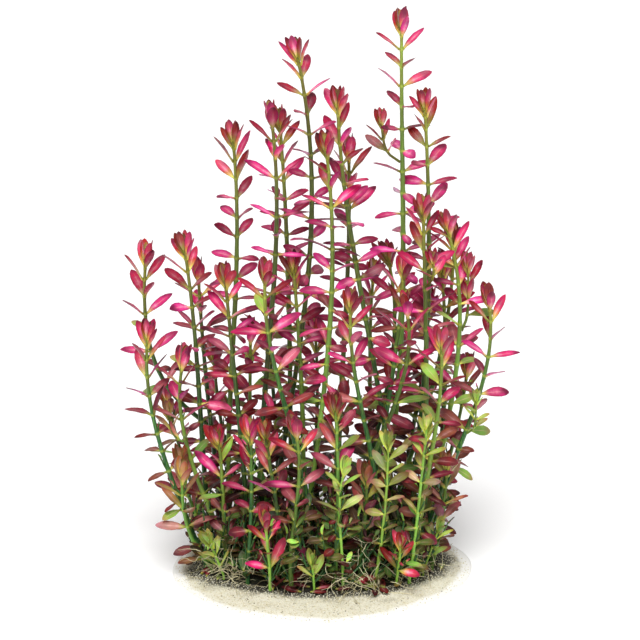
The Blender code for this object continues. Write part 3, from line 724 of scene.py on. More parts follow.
def bud_envelope(stem):
    """A spindle round the young leaves at the tip, for finding collisions."""
    here = frame_at(stem, 0)
    scale = stem.vigour
    points = [here[0] - here[1] * 3.0 * scale, here[0] + here[1] * (BUD_HEIGHT + LEAF_ROOM) * scale]
    for i in range(6):
        rim = outward(here, 60 * i) * BUD_SPREAD * scale
        points.append(here[0] + rim + here[1] * BUD_HEIGHT * scale * 0.6)
    faces = [(0, 2 + (i + 1) % 6, 2 + i) for i in range(6)]
    faces += [(1, 2 + i, 2 + (i + 1) % 6) for i in range(6)]
    return BVHTree.FromPolygons(points, faces), points


class Crowd:
    """Everything placed so far, found by the cells it lies in."""

    def __init__(self):
        self.cells = defaultdict(list)

    def cells_of(self, points):
        low = [math.floor(min(p[i] for p in points) / CELL) for i in range(3)]
        high = [math.floor(max(p[i] for p in points) / CELL) for i in range(3)]
        for x in range(low[0], high[0] + 1):
            for y in range(low[1], high[1] + 1):
                for z in range(low[2], high[2] + 1):
                    yield x, y, z

    def add(self, shape, owner, number):
        tree, points = shape
        for cell in self.cells_of(points):
            self.cells[cell].append((tree, owner, number))

    def has_room(self, shape, owner, number):
        tree, points = shape
        for cell in self.cells_of(points):
            for other, other_owner, other_number in self.cells[cell]:
                if other_owner == owner and other_number in (STEM_NUMBER, number - 1, number, number + 1):
                    continue
                if tree.overlap(other):
                    return False
        return True


def above_ground(points):
    return all(p.z >= ground_height(p.x, p.y) + GROUND_ROOM for p in points)


def rolled(blade, degrees):
    """A leaf turned about its own length."""
    turn = Matrix.Rotation(math.radians(degrees), 3, blade.along)
    return blade._replace(side=turn @ blade.side, normal=turn @ blade.normal)


def grow_leaf(stem, whorl, corner, crowd):
    """The first of the changed leaves that has room, or none."""
    roll = 0.0
    if not is_solid_whorl(stem, whorl):
        roll = random.Random(f"{stem.name} {whorl.number} {corner} roll").uniform(-LEAF_ROLL, LEAF_ROLL)
    for change in TRIES:
        blade = rolled(leaf_blade(stem, whorl, corner, change), roll)
        shape = leaf_envelope(blade)
        if above_ground(shape[1]) and crowd.has_room(shape, stem.name, whorl.number):
            crowd.add(shape, stem.name, whorl.number)
            return Leaf(whorl.drop, blade)
    return None


def grow_leaves(stem, whorls, crowd):
    """Leaves of the given whorls. Pairs alternate between the stem's two directions."""
    leaves = []
    for whorl in whorls:
        for corner in (whorl.number % 2, whorl.number % 2 + 2):
            leaf = grow_leaf(stem, whorl, corner, crowd)
            if leaf:
                leaves.append(leaf)
    return leaves


def side_foot(row, parent):
    """Where a side shoot starts: just off its parent's stem, on the side of its own tip."""
    index = min(range(STEM_SAMPLES + 1), key=lambda i: abs(parent.points[i].z - row.height))
    centre = parent.points[index]
    drop = parent.length * (1 - index / STEM_SAMPLES)
    away = Vector(row.tip) - centre
    away.z = 0
    return centre + away.normalized() * (stem_radius(parent, drop) + GAP)


def grow_stems():
    stems = {}
    for row in SHOOTS:
        foot = Vector((*row.foot, ground_height(*row.foot) + GAP))
        stems[row.name] = make_stem(row, foot, True)
    for row in SIDE_SHOOTS:
        stems[row.name] = make_stem(row, side_foot(row, stems[row.parent]), False)
    return stems


def smooth_share(value, low, high):
    """0 at low, 1 at high and smooth between."""
    share = min(max((value - low) / (high - low), 0.0), 1.0)
    return share * share * (3 - 2 * share)


def leaf_look(stem, blade, drop, chance):
    """Age from 0 to 1, share of green and tint of a leaf, which is painted darker deep inside the clump, as
    shade: older in look and lower in tint.
    """
    shade = 1 - smooth_share(blade.root.z, *LEAF_SHADE)
    age = 0.08 + 0.36 * smooth_share(drop, 2, 70) + 0.46 * shade * smooth_share(drop, 6, 55)
    green = 0.0
    if stem.name in GREEN_SHOOTS:
        below = smooth_share(drop, 10, 36)
        green = GREEN_SHOOTS[stem.name] * chance.uniform(0.75, 1.0) * (1 - 0.22 * below)
        age *= 0.6 + 0.4 * below
    elif stem.name in BRIGHT_SHOOTS:
        age = 0.08 * smooth_share(drop, 2, 30)
    elif chance.random() < 0.55 * shade * smooth_share(drop, 4, 26):
        # Most leaves are either red with a little green or plainly green
        green = smooth_share(chance.uniform(0.0, 1.0), 0.58, 0.75) * 0.75 + 0.15
        age -= 0.2 * green
    # Painted shade: low down and deep inside the clump a leaf looks older, and its tint, and so its value, is
    # darker
    inside = 1 - smooth_share(share_of_rim(blade.root.x, blade.root.y, mat_rim), 0.5, 1.0)
    inside *= 1 - smooth_share(blade.root.z, 30, 120)
    age += chance.uniform(-0.12, 0.12) + 0.2 * inside * smooth_share(drop, 6, 40)
    return Vector((min(max(age, 0.0), 1.0), green, chance.random() * (1 - 0.8 * inside)))


def sprout_look(chance):
    """The look of a leaf on a sprout: most are old and dark, their tint kept low as painted shade at the foot
    of the clump, and some are green.
    """
    green = chance.choice(SPROUT_GREENS)
    ages, tints = ((0.1, 0.6), (0.4, 1.0)) if green == 1.0 else ((0.82, 1.0), (0.0, 0.3))
    return Vector((chance.uniform(*ages), green, chance.uniform(*tints)))


def bud_leaves(stem):
    """The cupped young leaves round the tip of a shoot."""
    chance = random.Random(f"{stem.name} bud")
    for number, pair in enumerate(BUD_PAIRS):
        here = frame_at(stem, pair.drop * stem.vigour)
        for corner in (number % 2, number % 2 + 2):
            turn = stem.turn + 90 * corner
            rise = math.radians(pair.rise + chance.uniform(-4, 4))
            out = outward(here, turn + chance.uniform(-8, 8))
            along = out * math.cos(rise) + here[1] * math.sin(rise)
            side = here[1].cross(out)
            length = pair.length * stem.vigour * chance.uniform(0.92, 1.05)
            blade = Blade(
                root=here[0] + outward(here, turn) * 0.5 * stem.vigour,
                along=along,
                side=side,
                normal=along.cross(side),
                length=length,
                half_width=length * pair.width / 2,
                bend=pair.bend,
                skew=chance.uniform(-0.03, 0.03),
            )
            look = leaf_look(stem, blade, pair.drop, chance)
            # The inner leaves of a bud are still olive
            look.y = max(look.y, chance.uniform(0.3, 0.6) if number < 2 else 0.0)
            look.x = max(look.x - 0.1, 0.0)
            yield Dressed(blade, look)


def free_blade(root, along, normal_hint, length, width, chance):
    """A young leaf from a point, in a direction, with its face towards the hint."""
    side = normal_hint.cross(along).normalized()
    side = Matrix.Rotation(math.radians(turn_to_light(along, side)), 3, along) @ side
    return Blade(
        root=root,
        along=along,
        side=side,
        normal=along.cross(side),
        length=length,
        half_width=length * width / 2,
        bend=chance.uniform(-0.06, 0.12),
        skew=chance.uniform(-0.05, 0.05),
    )


def ray_round(way, spin):
    """A direction square to a way, at an angle in degrees round it."""
    first = way.orthogonal().normalized()
    return first * math.cos(math.radians(spin)) + way.cross(first) * math.sin(math.radians(spin))


def in_tangle(place):
    """Whether a place lies in a tangle of loose roots, which keeps sprouts out."""
    near = [t for t in TANGLES if math.hypot(place.x - t.x, place.y - t.y) < 1.1 * t.spread]
    return any(place.z < MAT_RIM + t.height for t in near)


def twig_points(foot, way, reach):
    """The line of a young twig that bends upwards, and the way in which it ends."""
    points = [foot]
    heading = way.copy()
    for _ in range(TWIG_STEPS):
        heading = (heading + Vector((0, 0, TWIG_RISE))).normalized()
        points.append(points[-1] + heading * (reach / TWIG_STEPS))
    return points, heading


def twig_leaf_places(points, heading, pairs, chance):
    """Root and direction of each leaf of a twig, and whether it is one of the small pair at the end."""
    spin = chance.uniform(0, 180)
    for pair in range(pairs + 1):
        at_end = pair == pairs
        place = TWIG_STEPS * (1.0 if at_end else 0.25 + 0.75 * pair / pairs)
        index = min(int(place), TWIG_STEPS - 1)
        root = points[index].lerp(points[index + 1], place - index)
        rises = [chance.uniform(62, 76), chance.uniform(28, 50)] if at_end else [chance.uniform(-5, 38)]
        for level, rise in enumerate(rises):
            for side in (0, 180):
                ray = ray_round(heading, spin + 90 * (pair + level) + side + chance.uniform(-12, 12))
                angle = math.radians(rise)
                along = (ray * math.cos(angle) + heading * math.sin(angle)).normalized()
                yield root, along, at_end and level == 0


def grow_twig(stem, foot, way, reach, lengths, drop, chance, crowd):
    """A young twig with pairs of leaves, as lines and leaves. A drop of none is a
    sprout from the ground."""
    points, heading = twig_points(foot, way, reach)
    pairs = max(1, round(reach / SPROUT_PAIR_SPACING))
    leaves = []
    for root, along, is_small in twig_leaf_places(points, heading, pairs, chance):
        length = chance.uniform(*lengths) * (TWIG_END_SHARE if is_small else 1.0)
        blade = free_blade(root, along, heading, length, TWIG_LEAF_WIDTH, chance)
        blade = rolled(blade, chance.uniform(-LEAF_SWAY, LEAF_SWAY))
        look = leaf_look(stem, blade, drop, chance) if drop else sprout_look(chance)
        if not drop and in_tangle(blade_point(blade, 0.6, 0)):
            continue
        shape = leaf_envelope(blade)
        if above_ground(shape[1]) and crowd.has_room(shape, f"{stem.name} twig", 0):
            crowd.add(shape, stem.name, 0)
            leaves.append(Dressed(blade, look))
    if not leaves:
        return [], []
    radii = [TWIG_RADIUS * (1.5 - 0.6 * i / TWIG_STEPS) for i in range(TWIG_STEPS + 1)]
    looks = [Vector((1 - smooth_share(p.z, *STEM_SHADE), 0, chance.random())) for p in points]
    return [Line(points, radii, [0.1] * (TWIG_STEPS + 1), looks)], leaves


def grow_axils(stem, crowd):
    """The side growth of a whole shoot, denser towards the ground."""
    chance = random.Random(f"{stem.name} axils")
    lines, leaves = [], []
    for whorl in whorls_of(stem):
        if whorl.number < 4:
            continue
        here = frame_at(stem, whorl.drop - 0.7)
        low_share = 1 - smooth_share(here[0].z, 30, AXIL_TOP)
        likely = AXIL_CHANCE_HIGH + (AXIL_CHANCE_LOW - AXIL_CHANCE_HIGH) * low_share
        for corner in (whorl.number % 2, whorl.number % 2 + 2):
            if chance.random() < likely:
                out = outward(here, stem.turn + 90 * corner)
                lean = math.radians(chance.uniform(*TWIG_LEAN))
                way = (out * math.cos(lean) + here[1] * math.sin(lean)).normalized()
                reach = TWIG_LENGTH[0] + (TWIG_LENGTH[1] - TWIG_LENGTH[0]) * low_share * chance.random()
                lengths = [length * (0.5 + 0.5 * low_share) for length in AXIL_LEAF]
                drop = whorl.drop * 0.4 + 8 + 30 * low_share
                more = grow_twig(stem, here[0] + out * 0.5, way, reach, lengths, drop, chance, crowd)
                lines += more[0]
                leaves += more[1]
    return lines, leaves


def grow_sprouts(stem, crowd):
    """Short leafy sprouts that spread from the foot of a shoot."""
    chance = random.Random(f"{stem.name} sprouts")
    lines, leaves = [], []
    turn = chance.uniform(0, 360)
    for number in range(SPROUTS_PER_FOOT):
        angle = math.radians(turn + 360 * number / SPROUTS_PER_FOOT + chance.uniform(-25, 25))
        lean = math.radians(chance.uniform(*SPROUT_LEAN))
        way = Vector((math.cos(angle) * math.cos(lean), math.sin(angle) * math.cos(lean), math.sin(lean)))
        foot = stem.points[0] + Vector((0, 0, chance.uniform(*SPROUT_FOOT)))
        reach = chance.uniform(*SPROUT_LENGTH)
        end = foot + way * reach
        if share_of_rim(end.x, end.y, mat_rim) > SPROUT_LIMIT:
            continue
        more = grow_twig(stem, foot, way, reach, SPROUT_LEAF, None, chance, crowd)
        lines += more[0]
        leaves += more[1]
    return lines, leaves


def stem_line(stem):
    """The stem as a line of points with its radius, closeness to a node and look at each."""
    nodes = [whorl.drop for whorl in whorls_of(stem) if whorl.number >= BUD_WHORLS]
    drops = {stem.length, 0.0, 1.5}
    for drop in nodes:
        drops.update(drop + beside for beside in NODE_POINTS)
    count = max(2, math.ceil(stem.length / STEM_LINE_STEP))
    drops.update(stem.length * i / count for i in range(count))
    levels = []
    for drop in sorted((d for d in drops if 0.0 <= d <= stem.length), reverse=True):
        if not levels or levels[-1] - drop > STEM_LINE_GAP:
            levels.append(drop)
    chance = random.Random(f"{stem.name} stem")
    tint = chance.random()
    green = GREEN_SHOOTS.get(stem.name, chance.choice(STEM_GREENS))
    points, radii, marks, looks = [], [], [], []
    if stem.grounded:
        points.append(stem.points[0] - Vector((0, 0, STEM_IN_GROUND)))
        radii.append(stem_radius(stem, stem.length))
        marks.append(0.0)
        looks.append(Vector((1, green, tint)))
    for drop in levels:
        centre = frame_at(stem, drop)[0]
        near = max((math.exp(-((drop - node) / NODE_REACH) ** 2) for node in nodes), default=0.0)
        shade = 1 - smooth_share(centre.z, *STEM_SHADE)
        points.append(centre)
        radii.append(stem_radius(stem, drop) * (1.0 + bpy.context.scene.clump_stems.swelling * near))
        marks.append(near)
        # Darker lower down: with age below the tip, and with painted shade low in the clump
        depth = 0.35 * smooth_share(drop, 0, 60) + 0.65 * shade
        looks.append(Vector((depth, green * (0.15 + 0.85 * shade), tint)))
    return Line(points, radii, marks, looks)


@functools.cache
def grown_clump():
    """Every shoot's stem, lines and leaves, in the order in which the solids grow."""
    stems = grow_stems()
    crowd = Crowd()
    for stem in stems.values():
        crowd.add(bud_envelope(stem), stem.name, BUD_WHORLS - 1)
        for shape in stem_pieces(stem):
            crowd.add(shape, stem.name, STEM_NUMBER)
    leaves = {}
    for stem in stems.values():
        leaves[stem.name] = grow_leaves(stem, [w for w in whorls_of(stem) if is_solid_whorl(stem, w)], crowd)
        match_solid(stem, leaves[stem.name])
    for stem in stems.values():
        more = [w for w in whorls_of(stem) if w.number >= BUD_WHORLS and not is_solid_whorl(stem, w)]
        leaves[stem.name] += grow_leaves(stem, more, crowd)
    grown = {}
    for stem in stems.values():
        chance = random.Random(f"{stem.name} looks")
        dressed = []
        for leaf in leaves[stem.name]:
            dressed.append(Dressed(leaf.blade, leaf_look(stem, leaf.blade, leaf.drop, chance)))
        dressed += bud_leaves(stem)
        lines, more = grow_axils(stem, crowd)
        grown[stem.name] = ([stem_line(stem), *lines], dressed + more)
    for stem in stems.values():
        if stem.grounded:
            lines, more = grow_sprouts(stem, crowd)
            grown[stem.name][0].extend(lines)
            grown[stem.name][1].extend(more)
    return grown


def match_solid(stem, leaves):
    """Stops if a leaf that the solid holds isn't where it is grown here."""
    corners = [vertex.co for vertex in frame["nodes"][stem.name].data.vertices]
    for leaf in leaves:
        tip = blade_point(leaf.blade, 1, 0) * MM
        if min((corner - tip).length for corner in corners) > 0.1 * MM:
            raise RuntimeError(f"a leaf of {stem.name} isn't where its solid has it")


def feed(node, inputs):
    """Gives a node its values and its links, in order or by key."""
    for key, value in inputs.items() if isinstance(inputs, dict) else enumerate(inputs):
        if isinstance(value, bpy.types.Node):
            value = value.outputs[0]
        if isinstance(value, bpy.types.NodeSocket):
            node.id_data.links.new(value, node.inputs[key])
        else:
            node.inputs[key].default_value = value


def put(tree, kind, inputs=(), stops=(), **settings):
    """A node of a tree with its settings, its (place, colour) stops, its values and its links."""
    node = tree.nodes.new(kind)
    for name, value in settings.items():
        setattr(node, name, value)
    while stops and len(node.color_ramp.elements) < len(stops):
        node.color_ramp.elements.new(0.5)
    for number, (place, shade) in enumerate(stops):
        node.color_ramp.elements[number].position = place
        node.color_ramp.elements[number].color = shade
    feed(node, inputs)
    return node


def new_material(name):
    """An empty material: its tree and its shader."""
    material = bpy.data.materials.new(name)
    material.use_nodes = True
    return material, material.node_tree, material.node_tree.nodes["Principled BSDF"]


def parts_of(tree, name):
    """The three values of a vector attribute."""
    attribute = put(tree, "ShaderNodeAttribute", attribute_name=name)
    return put(tree, "ShaderNodeSeparateXYZ", (attribute.outputs["Vector"],)).outputs


def leaf_red(tree, settings, age, face):
    """The red pigment of a leaf's upper and lower face, by its age. Age also carries the painted shade low in
    the clump, and the pink of the lower face carries a painted glow of light shining through.
    """
    upper = put(tree, "ShaderNodeValToRGB", (age,), stops=(
        (0.0, settings.young),
        (0.16, settings.crimson),
        (0.42, settings.pink),
        (0.7, settings.wine),
        (1.0, settings.old),
    ))
    lower = put(tree, "ShaderNodeValToRGB", (age,), stops=(
        (0.0, settings.under_young),
        (0.2, settings.under_crimson),
        (0.42, settings.under_pink),
        (0.68, settings.under_wine),
        (1.0, settings.under_old),
    ))
    is_upper = put(tree, "ShaderNodeMath", (face, 0.0), operation="GREATER_THAN")
    return put(tree, "ShaderNodeMix", {0: is_upper, 6: lower, 7: upper}, **MIX).outputs[2]


def leaf_veins(tree, place, u, across):
    """Relief of a leaf: 9 side veins to its length, which run forward from the rib, and a fine grain."""
    slope = put(tree, "ShaderNodeMath", (across, -0.28, u), operation="MULTIPLY_ADD")
    waves = put(tree, "ShaderNodeMath", (slope, VEINS * 2 * math.pi), operation="MULTIPLY")
    veins = put(tree, "ShaderNodeMath", (waves,), operation="SINE")
    grain = put(tree, "ShaderNodeTexNoise", {"Vector": place, "Scale": 2400.0, "Detail": 2.0})
    height = put(tree, "ShaderNodeMath", (veins, 0.35, grain), operation="MULTIPLY_ADD")
    return put(tree, "ShaderNodeBump", {"Height": height, "Strength": 0.35, "Distance": 0.12 * MM})


@functools.cache
def leaf_material():
    """Submerged leaf: a thin soft blade, glossy where it is young, whose red
    pigment lies over green, so it pales to yellow-green at its foot, glows
    violet from below and darkens at its rim and tip. The glow from below is
    partly painted into the colour of its underside, and the pale middle of the
    blade carries a painted highlight in patches."""
    settings = bpy.context.scene.clump_leaves
    material, tree, shader = new_material("submerged_leaf")
    u, v, face = parts_of(tree, "place")
    age, green, tint = parts_of(tree, "look")
    across = put(tree, "ShaderNodeMath", (v,), operation="ABSOLUTE")
    place = put(tree, "ShaderNodeTexCoord").outputs["Object"]
    # Patches of pigment 4 mm wide
    patches = put(tree, "ShaderNodeTexNoise", {"Vector": place, "Scale": 250.0, "Detail": 3.0})
    patch_age = put(tree, "ShaderNodeMath", (patches, 0.3, age), operation="MULTIPLY_ADD")
    shifted = put(tree, "ShaderNodeMath", (patch_age, 0.15), operation="SUBTRACT")
    red = leaf_red(tree, settings, shifted, face)
    # The pigment is thin in the middle of the blade and strong along the rim; in patches the pale middle is
    # also a painted highlight
    middle_across = put(tree, "ShaderNodeMapRange", (across, 0.0, 0.75, 1.0, 0.0), **SMOOTH)
    middle_along = put(tree, "ShaderNodeMapRange", (u, 0.3, 0.95, 1.0, 0.0), **SMOOTH)
    middle = put(tree, "ShaderNodeMath", (middle_across, middle_along), operation="MULTIPLY")
    thin_and_highlit_patches = put(tree, "ShaderNodeMapRange", (patches, 0.36, 0.66, 0.12, 0.72), **SMOOTH)
    thin = put(tree, "ShaderNodeMath", (middle, thin_and_highlit_patches), operation="MULTIPLY")
    less_old = put(tree, "ShaderNodeMapRange", (age, 0.5, 0.95, 1.0, 0.35), **SMOOTH)
    thin = put(tree, "ShaderNodeMath", (thin, less_old), operation="MULTIPLY")
    red = put(tree, "ShaderNodeMix", {0: thin, 6: red, 7: settings.pale_middle_and_highlight}, **MIX).outputs[2]
    leafy = put(tree, "ShaderNodeValToRGB", (shifted,), stops=((0.0, settings.green), (1.0, settings.olive)))
    # A green leaf keeps some red at its end
    red_end = put(tree, "ShaderNodeMapRange", (u, 0.6, 1.0, 1.0, 0.6), **SMOOTH)
    green_here = put(tree, "ShaderNodeMath", (green, red_end), operation="MULTIPLY")
    blade = put(tree, "ShaderNodeMix", {0: green_here, 6: red, 7: leafy}, **MIX).outputs[2]
    foot_end = put(tree, "ShaderNodeMapRange", (age, 0.0, 0.3, 0.6, 0.3), **SMOOTH)
    foot = put(tree, "ShaderNodeMapRange", (u, 0.0, foot_end, 0.95, 0.0), **SMOOTH)
    blade = put(tree, "ShaderNodeMix", {0: foot, 6: blade, 7: settings.foot}, **MIX).outputs[2]
    # The middle rib is 0.4 mm wide and fades towards the tip
    rib_width = put(tree, "ShaderNodeMapRange", (across, 0.02, 0.13, 0.34, 0.0), **SMOOTH)
    rib_length = put(tree, "ShaderNodeMapRange", (u, 0.5, 0.95, 1.0, 0.0), **SMOOTH)
    rib = put(tree, "ShaderNodeMath", (rib_width, rib_length), operation="MULTIPLY")
    blade = put(tree, "ShaderNodeMix", {0: rib, 6: blade, 7: settings.rib}, **MIX).outputs[2]
    rim = put(tree, "ShaderNodeMapRange", (across, 0.7, 1.0, 0.0, 0.75), **SMOOTH)
    # Clouds of dark pigment 8 mm wide gather in the outer half of the blade
    clouds = put(tree, "ShaderNodeTexNoise", {"Vector": place, "Scale": 125.0, "Detail": 2.0})
    cloudy = put(tree, "ShaderNodeMath", (clouds, 1.5, u), operation="MULTIPLY_ADD")
    tip = put(tree, "ShaderNodeMapRange", (cloudy, 1.2, 1.95, 0.0, 0.9), **SMOOTH)
    dark = put(tree, "ShaderNodeMath", (rim, tip), operation="MAXIMUM")
    less_green = put(tree, "ShaderNodeMath", (green, -0.75, 1.0), operation="MULTIPLY_ADD")
    dark = put(tree, "ShaderNodeMath", (dark, less_green), operation="MULTIPLY")
    blade = put(tree, "ShaderNodeMix", {0: dark, 6: blade, 7: settings.edge}, **MIX).outputs[2]
    # The tint also carries the painted shade deep inside the clump, which lowers the value
    hue = put(tree, "ShaderNodeMapRange", (tint, 0.0, 1.0, 0.51, 0.487), **SMOOTH)
    value = put(tree, "ShaderNodeMapRange", (tint, 0.0, 1.0, 0.5, 1.66))
    varied = put(tree, "ShaderNodeHueSaturation", {"Hue": hue, "Value": value, "Color": blade})
    bump = leaf_veins(tree, place, u, across)
    gloss = put(tree, "ShaderNodeMapRange", (patches, 0.3, 0.7, 0.3, 0.46), **SMOOTH)
    feed(shader, {
        "Base Color": varied,
        "Normal": bump,
        "Roughness": gloss,
        "IOR": 1.42,
        "Specular IOR Level": 0.38,
        "Coat Weight": 0.12,
        "Coat Roughness": 0.22,
        "Subsurface Weight": 0.15,
        "Subsurface Radius": (1.0, 0.35, 0.4),
        "Subsurface Scale": 1.2 * MM,
    })
    return material


@functools.cache
def stem_material():
    """Soft green stem: a smooth wet skin over pith, olive in the light, deep
    green in the shade, with a yellow ring at each node and streaks along it."""
    settings = bpy.context.scene.clump_stems
    material, tree, shader = new_material("soft_green_stem")
    node_share = parts_of(tree, "place")[0]
    depth, green, tint = parts_of(tree, "look")
    shade = put(tree, "ShaderNodeValToRGB", (depth,), stops=(
        (0.0, settings.tip),
        (0.34, settings.upper),
        (0.7, settings.lower),
        (1.0, settings.foot),
    ))
    place = put(tree, "ShaderNodeTexCoord").outputs["Object"]
    skin = put(tree, "ShaderNodeMix", {0: green, 6: shade, 7: settings.lime}, **MIX).outputs[2]
    # Streaks 0.5 mm wide and 10 mm long
    stretched = put(tree, "ShaderNodeMapping", {"Vector": place, "Scale": (2000.0, 2000.0, 100.0)})
    streaks = put(tree, "ShaderNodeTexNoise", {"Vector": stretched, "Scale": 1.0, "Detail": 2.0})
    streak = put(tree, "ShaderNodeMapRange", (streaks, 0.4, 0.8, 0.0, 0.35), **SMOOTH)
    skin = put(tree, "ShaderNodeMix", {0: streak, 6: skin, 7: settings.lime}, **MIX).outputs[2]
    blotches = put(tree, "ShaderNodeTexNoise", {"Vector": place, "Scale": 90.0, "Detail": 2.0})
    red = put(tree, "ShaderNodeMapRange", (blotches, 0.5, 0.8, 0.0, 0.35), **SMOOTH)
    skin = put(tree, "ShaderNodeMix", {0: red, 6: skin, 7: settings.blotch}, **MIX).outputs[2]
    ring = put(tree, "ShaderNodeMapRange", (node_share, 0.45, 1.0, 0.0, 0.45), **SMOOTH)
    skin = put(tree, "ShaderNodeMix", {0: ring, 6: skin, 7: settings.node}, **MIX).outputs[2]
    value = put(tree, "ShaderNodeMapRange", (tint, 0.0, 1.0, 0.55, 1.2))
    hue = put(tree, "ShaderNodeMapRange", (tint, 0.3, 1.0, 0.488, 0.512), **SMOOTH)
    varied = put(tree, "ShaderNodeHueSaturation", {"Hue": hue, "Value": value, "Color": skin})
    bump = put(tree, "ShaderNodeBump", {"Height": streaks, "Strength": 0.3, "Distance": 0.15 * MM})
    gloss = put(tree, "ShaderNodeMapRange", (streaks, 0.3, 0.7, 0.3, 0.45), **SMOOTH)
    feed(shader, {
        "Base Color": varied,
        "Normal": bump,
        "Roughness": gloss,
        "IOR": 1.42,
        "Subsurface Weight": 0.1,
        "Subsurface Radius": (0.5, 1.0, 0.3),
        "Subsurface Scale": 0.8 * MM,
    })
    return material


@functools.cache
def sand_material():
    """Pale aquarium sand: rounded quartz and shell grains about 0.6 mm across,
    matt and cream, with tan grains between and a dark one here and there.
    Near the roots it darkens towards the mat colour: soil, with a painted
    shadow of the foliage over it."""
    settings = bpy.context.scene.clump_ground
    material, tree, shader = new_material("pale_sand")
    place = put(tree, "ShaderNodeTexCoord").outputs["Object"]
    cells = put(tree, "ShaderNodeTexVoronoi", {"Vector": place, "Scale": 1400.0})
    pick = put(tree, "ShaderNodeSeparateColor", (cells.outputs["Color"],))
    grains = put(tree, "ShaderNodeValToRGB", (pick,), stops=(
        (0.0, settings.dark),
        (0.015, settings.tan),
        (0.3, settings.pale),
        (1.0, settings.pale),
    ))
    stains = put(tree, "ShaderNodeTexNoise", {"Vector": place, "Scale": 70.0, "Detail": 4.0})
    stain = put(tree, "ShaderNodeMapRange", (stains, 0.45, 0.75, 0.0, 0.45), **SMOOTH)
    sand = put(tree, "ShaderNodeMix", {0: stain, 6: grains, 7: settings.tan}, **MIX).outputs[2]
    # Near the roots the sand darkens towards the mat colour: soil, and a painted shadow of the foliage
    soil_and_shadow, worn, _ = parts_of(tree, "cover")
    dirt = put(tree, "ShaderNodeMath", (stains, 1.2, soil_and_shadow), operation="MULTIPLY_ADD")
    dirty = put(tree, "ShaderNodeMapRange", (dirt, 0.85, 1.5, 0.0, 0.9), **SMOOTH)
    sand = put(tree, "ShaderNodeMix", {0: dirty, 6: sand, 7: settings.mat}, **MIX).outputs[2]
    sparse = put(tree, "ShaderNodeMath", (stains, 0.7, worn), operation="MULTIPLY_ADD")
    bare = put(tree, "ShaderNodeMapRange", (sparse, 0.62, 1.05, 0.0, 1.0), **SMOOTH)
    sand = put(tree, "ShaderNodeMix", {0: bare, 6: sand, 7: settings.dust}, **MIX).outputs[2]
    relief = {"Height": cells.outputs["Distance"], "Strength": 0.6, "Distance": 0.3 * MM}
    bump = put(tree, "ShaderNodeBump", relief, invert=True)
    gloss = put(tree, "ShaderNodeMapRange", (pick.outputs[1], 0.0, 1.0, 0.7, 0.95), **SMOOTH)
    feed(shader, {
        "Base Color": sand,
        "Normal": bump,
        "Roughness": gloss,
    })
    return material


@functools.cache
def grain_material():
    """Loose grains of the same sand, each of one colour: quartz, shell and a
    few dark minerals."""
    settings = bpy.context.scene.clump_ground
    material, tree, shader = new_material("sand_grains")
    pick = put(tree, "ShaderNodeAttribute", attribute_name="grain_pick")
    grains = put(tree, "ShaderNodeValToRGB", (pick.outputs["Fac"],), stops=(
        (0.0, settings.dark),
        (0.02, settings.dark),
        (0.03, settings.tan),
        (0.4, settings.pale),
        (1.0, settings.pale),
    ))
    place = put(tree, "ShaderNodeTexCoord").outputs["Object"]
    mottle = put(tree, "ShaderNodeTexNoise", {"Vector": place, "Scale": 3000.0})
    worn = put(tree, "ShaderNodeMapRange", (mottle, 0.4, 0.7, 0.0, 0.35), **SMOOTH)
    sand = put(tree, "ShaderNodeMix", {0: worn, 6: grains, 7: settings.tan}, **MIX).outputs[2]
    gloss = put(tree, "ShaderNodeMapRange", (mottle, 0.3, 0.7, 0.45, 0.8), **SMOOTH)
    feed(shader, {
        "Base Color": sand,
        "Roughness": gloss,
    })
    return material


@functools.cache
def mat_material():
    """Old root mat: a felt of dead roots and mulm, wet, nearly black, with a
    green film in places. Its darkness is partly painted shade between the feet."""
    settings = bpy.context.scene.clump_ground
    material, tree, shader = new_material("old_root_mat")
    place = put(tree, "ShaderNodeTexCoord").outputs["Object"]
    patches = put(tree, "ShaderNodeTexNoise", {"Vector": place, "Scale": 160.0, "Detail": 5.0})
    tangled = {"Vector": place, "Scale": 1600.0, "Detail": 4.0, "Distortion": 1.5}
    felt = put(tree, "ShaderNodeTexNoise", tangled)
    film = put(tree, "ShaderNodeMapRange", (patches, 0.45, 0.7, 0.0, 0.9), **SMOOTH)
    mulm = put(tree, "ShaderNodeMix", {0: film, 6: settings.mat, 7: settings.mat_green}, **MIX).outputs[2]
    threads = put(tree, "ShaderNodeMapRange", (felt, 0.56, 0.72, 0.0, 0.55), **SMOOTH)
    mulm = put(tree, "ShaderNodeMix", {0: threads, 6: mulm, 7: settings.root_brown}, **MIX).outputs[2]
    bump = put(tree, "ShaderNodeBump", {"Height": felt, "Strength": 0.9, "Distance": 0.5 * MM})
    gloss = put(tree, "ShaderNodeMapRange", (felt, 0.3, 0.7, 0.5, 0.9), **SMOOTH)
    feed(shader, {
        "Base Color": mulm,
        "Normal": bump,
        "Roughness": gloss,
    })
    return material


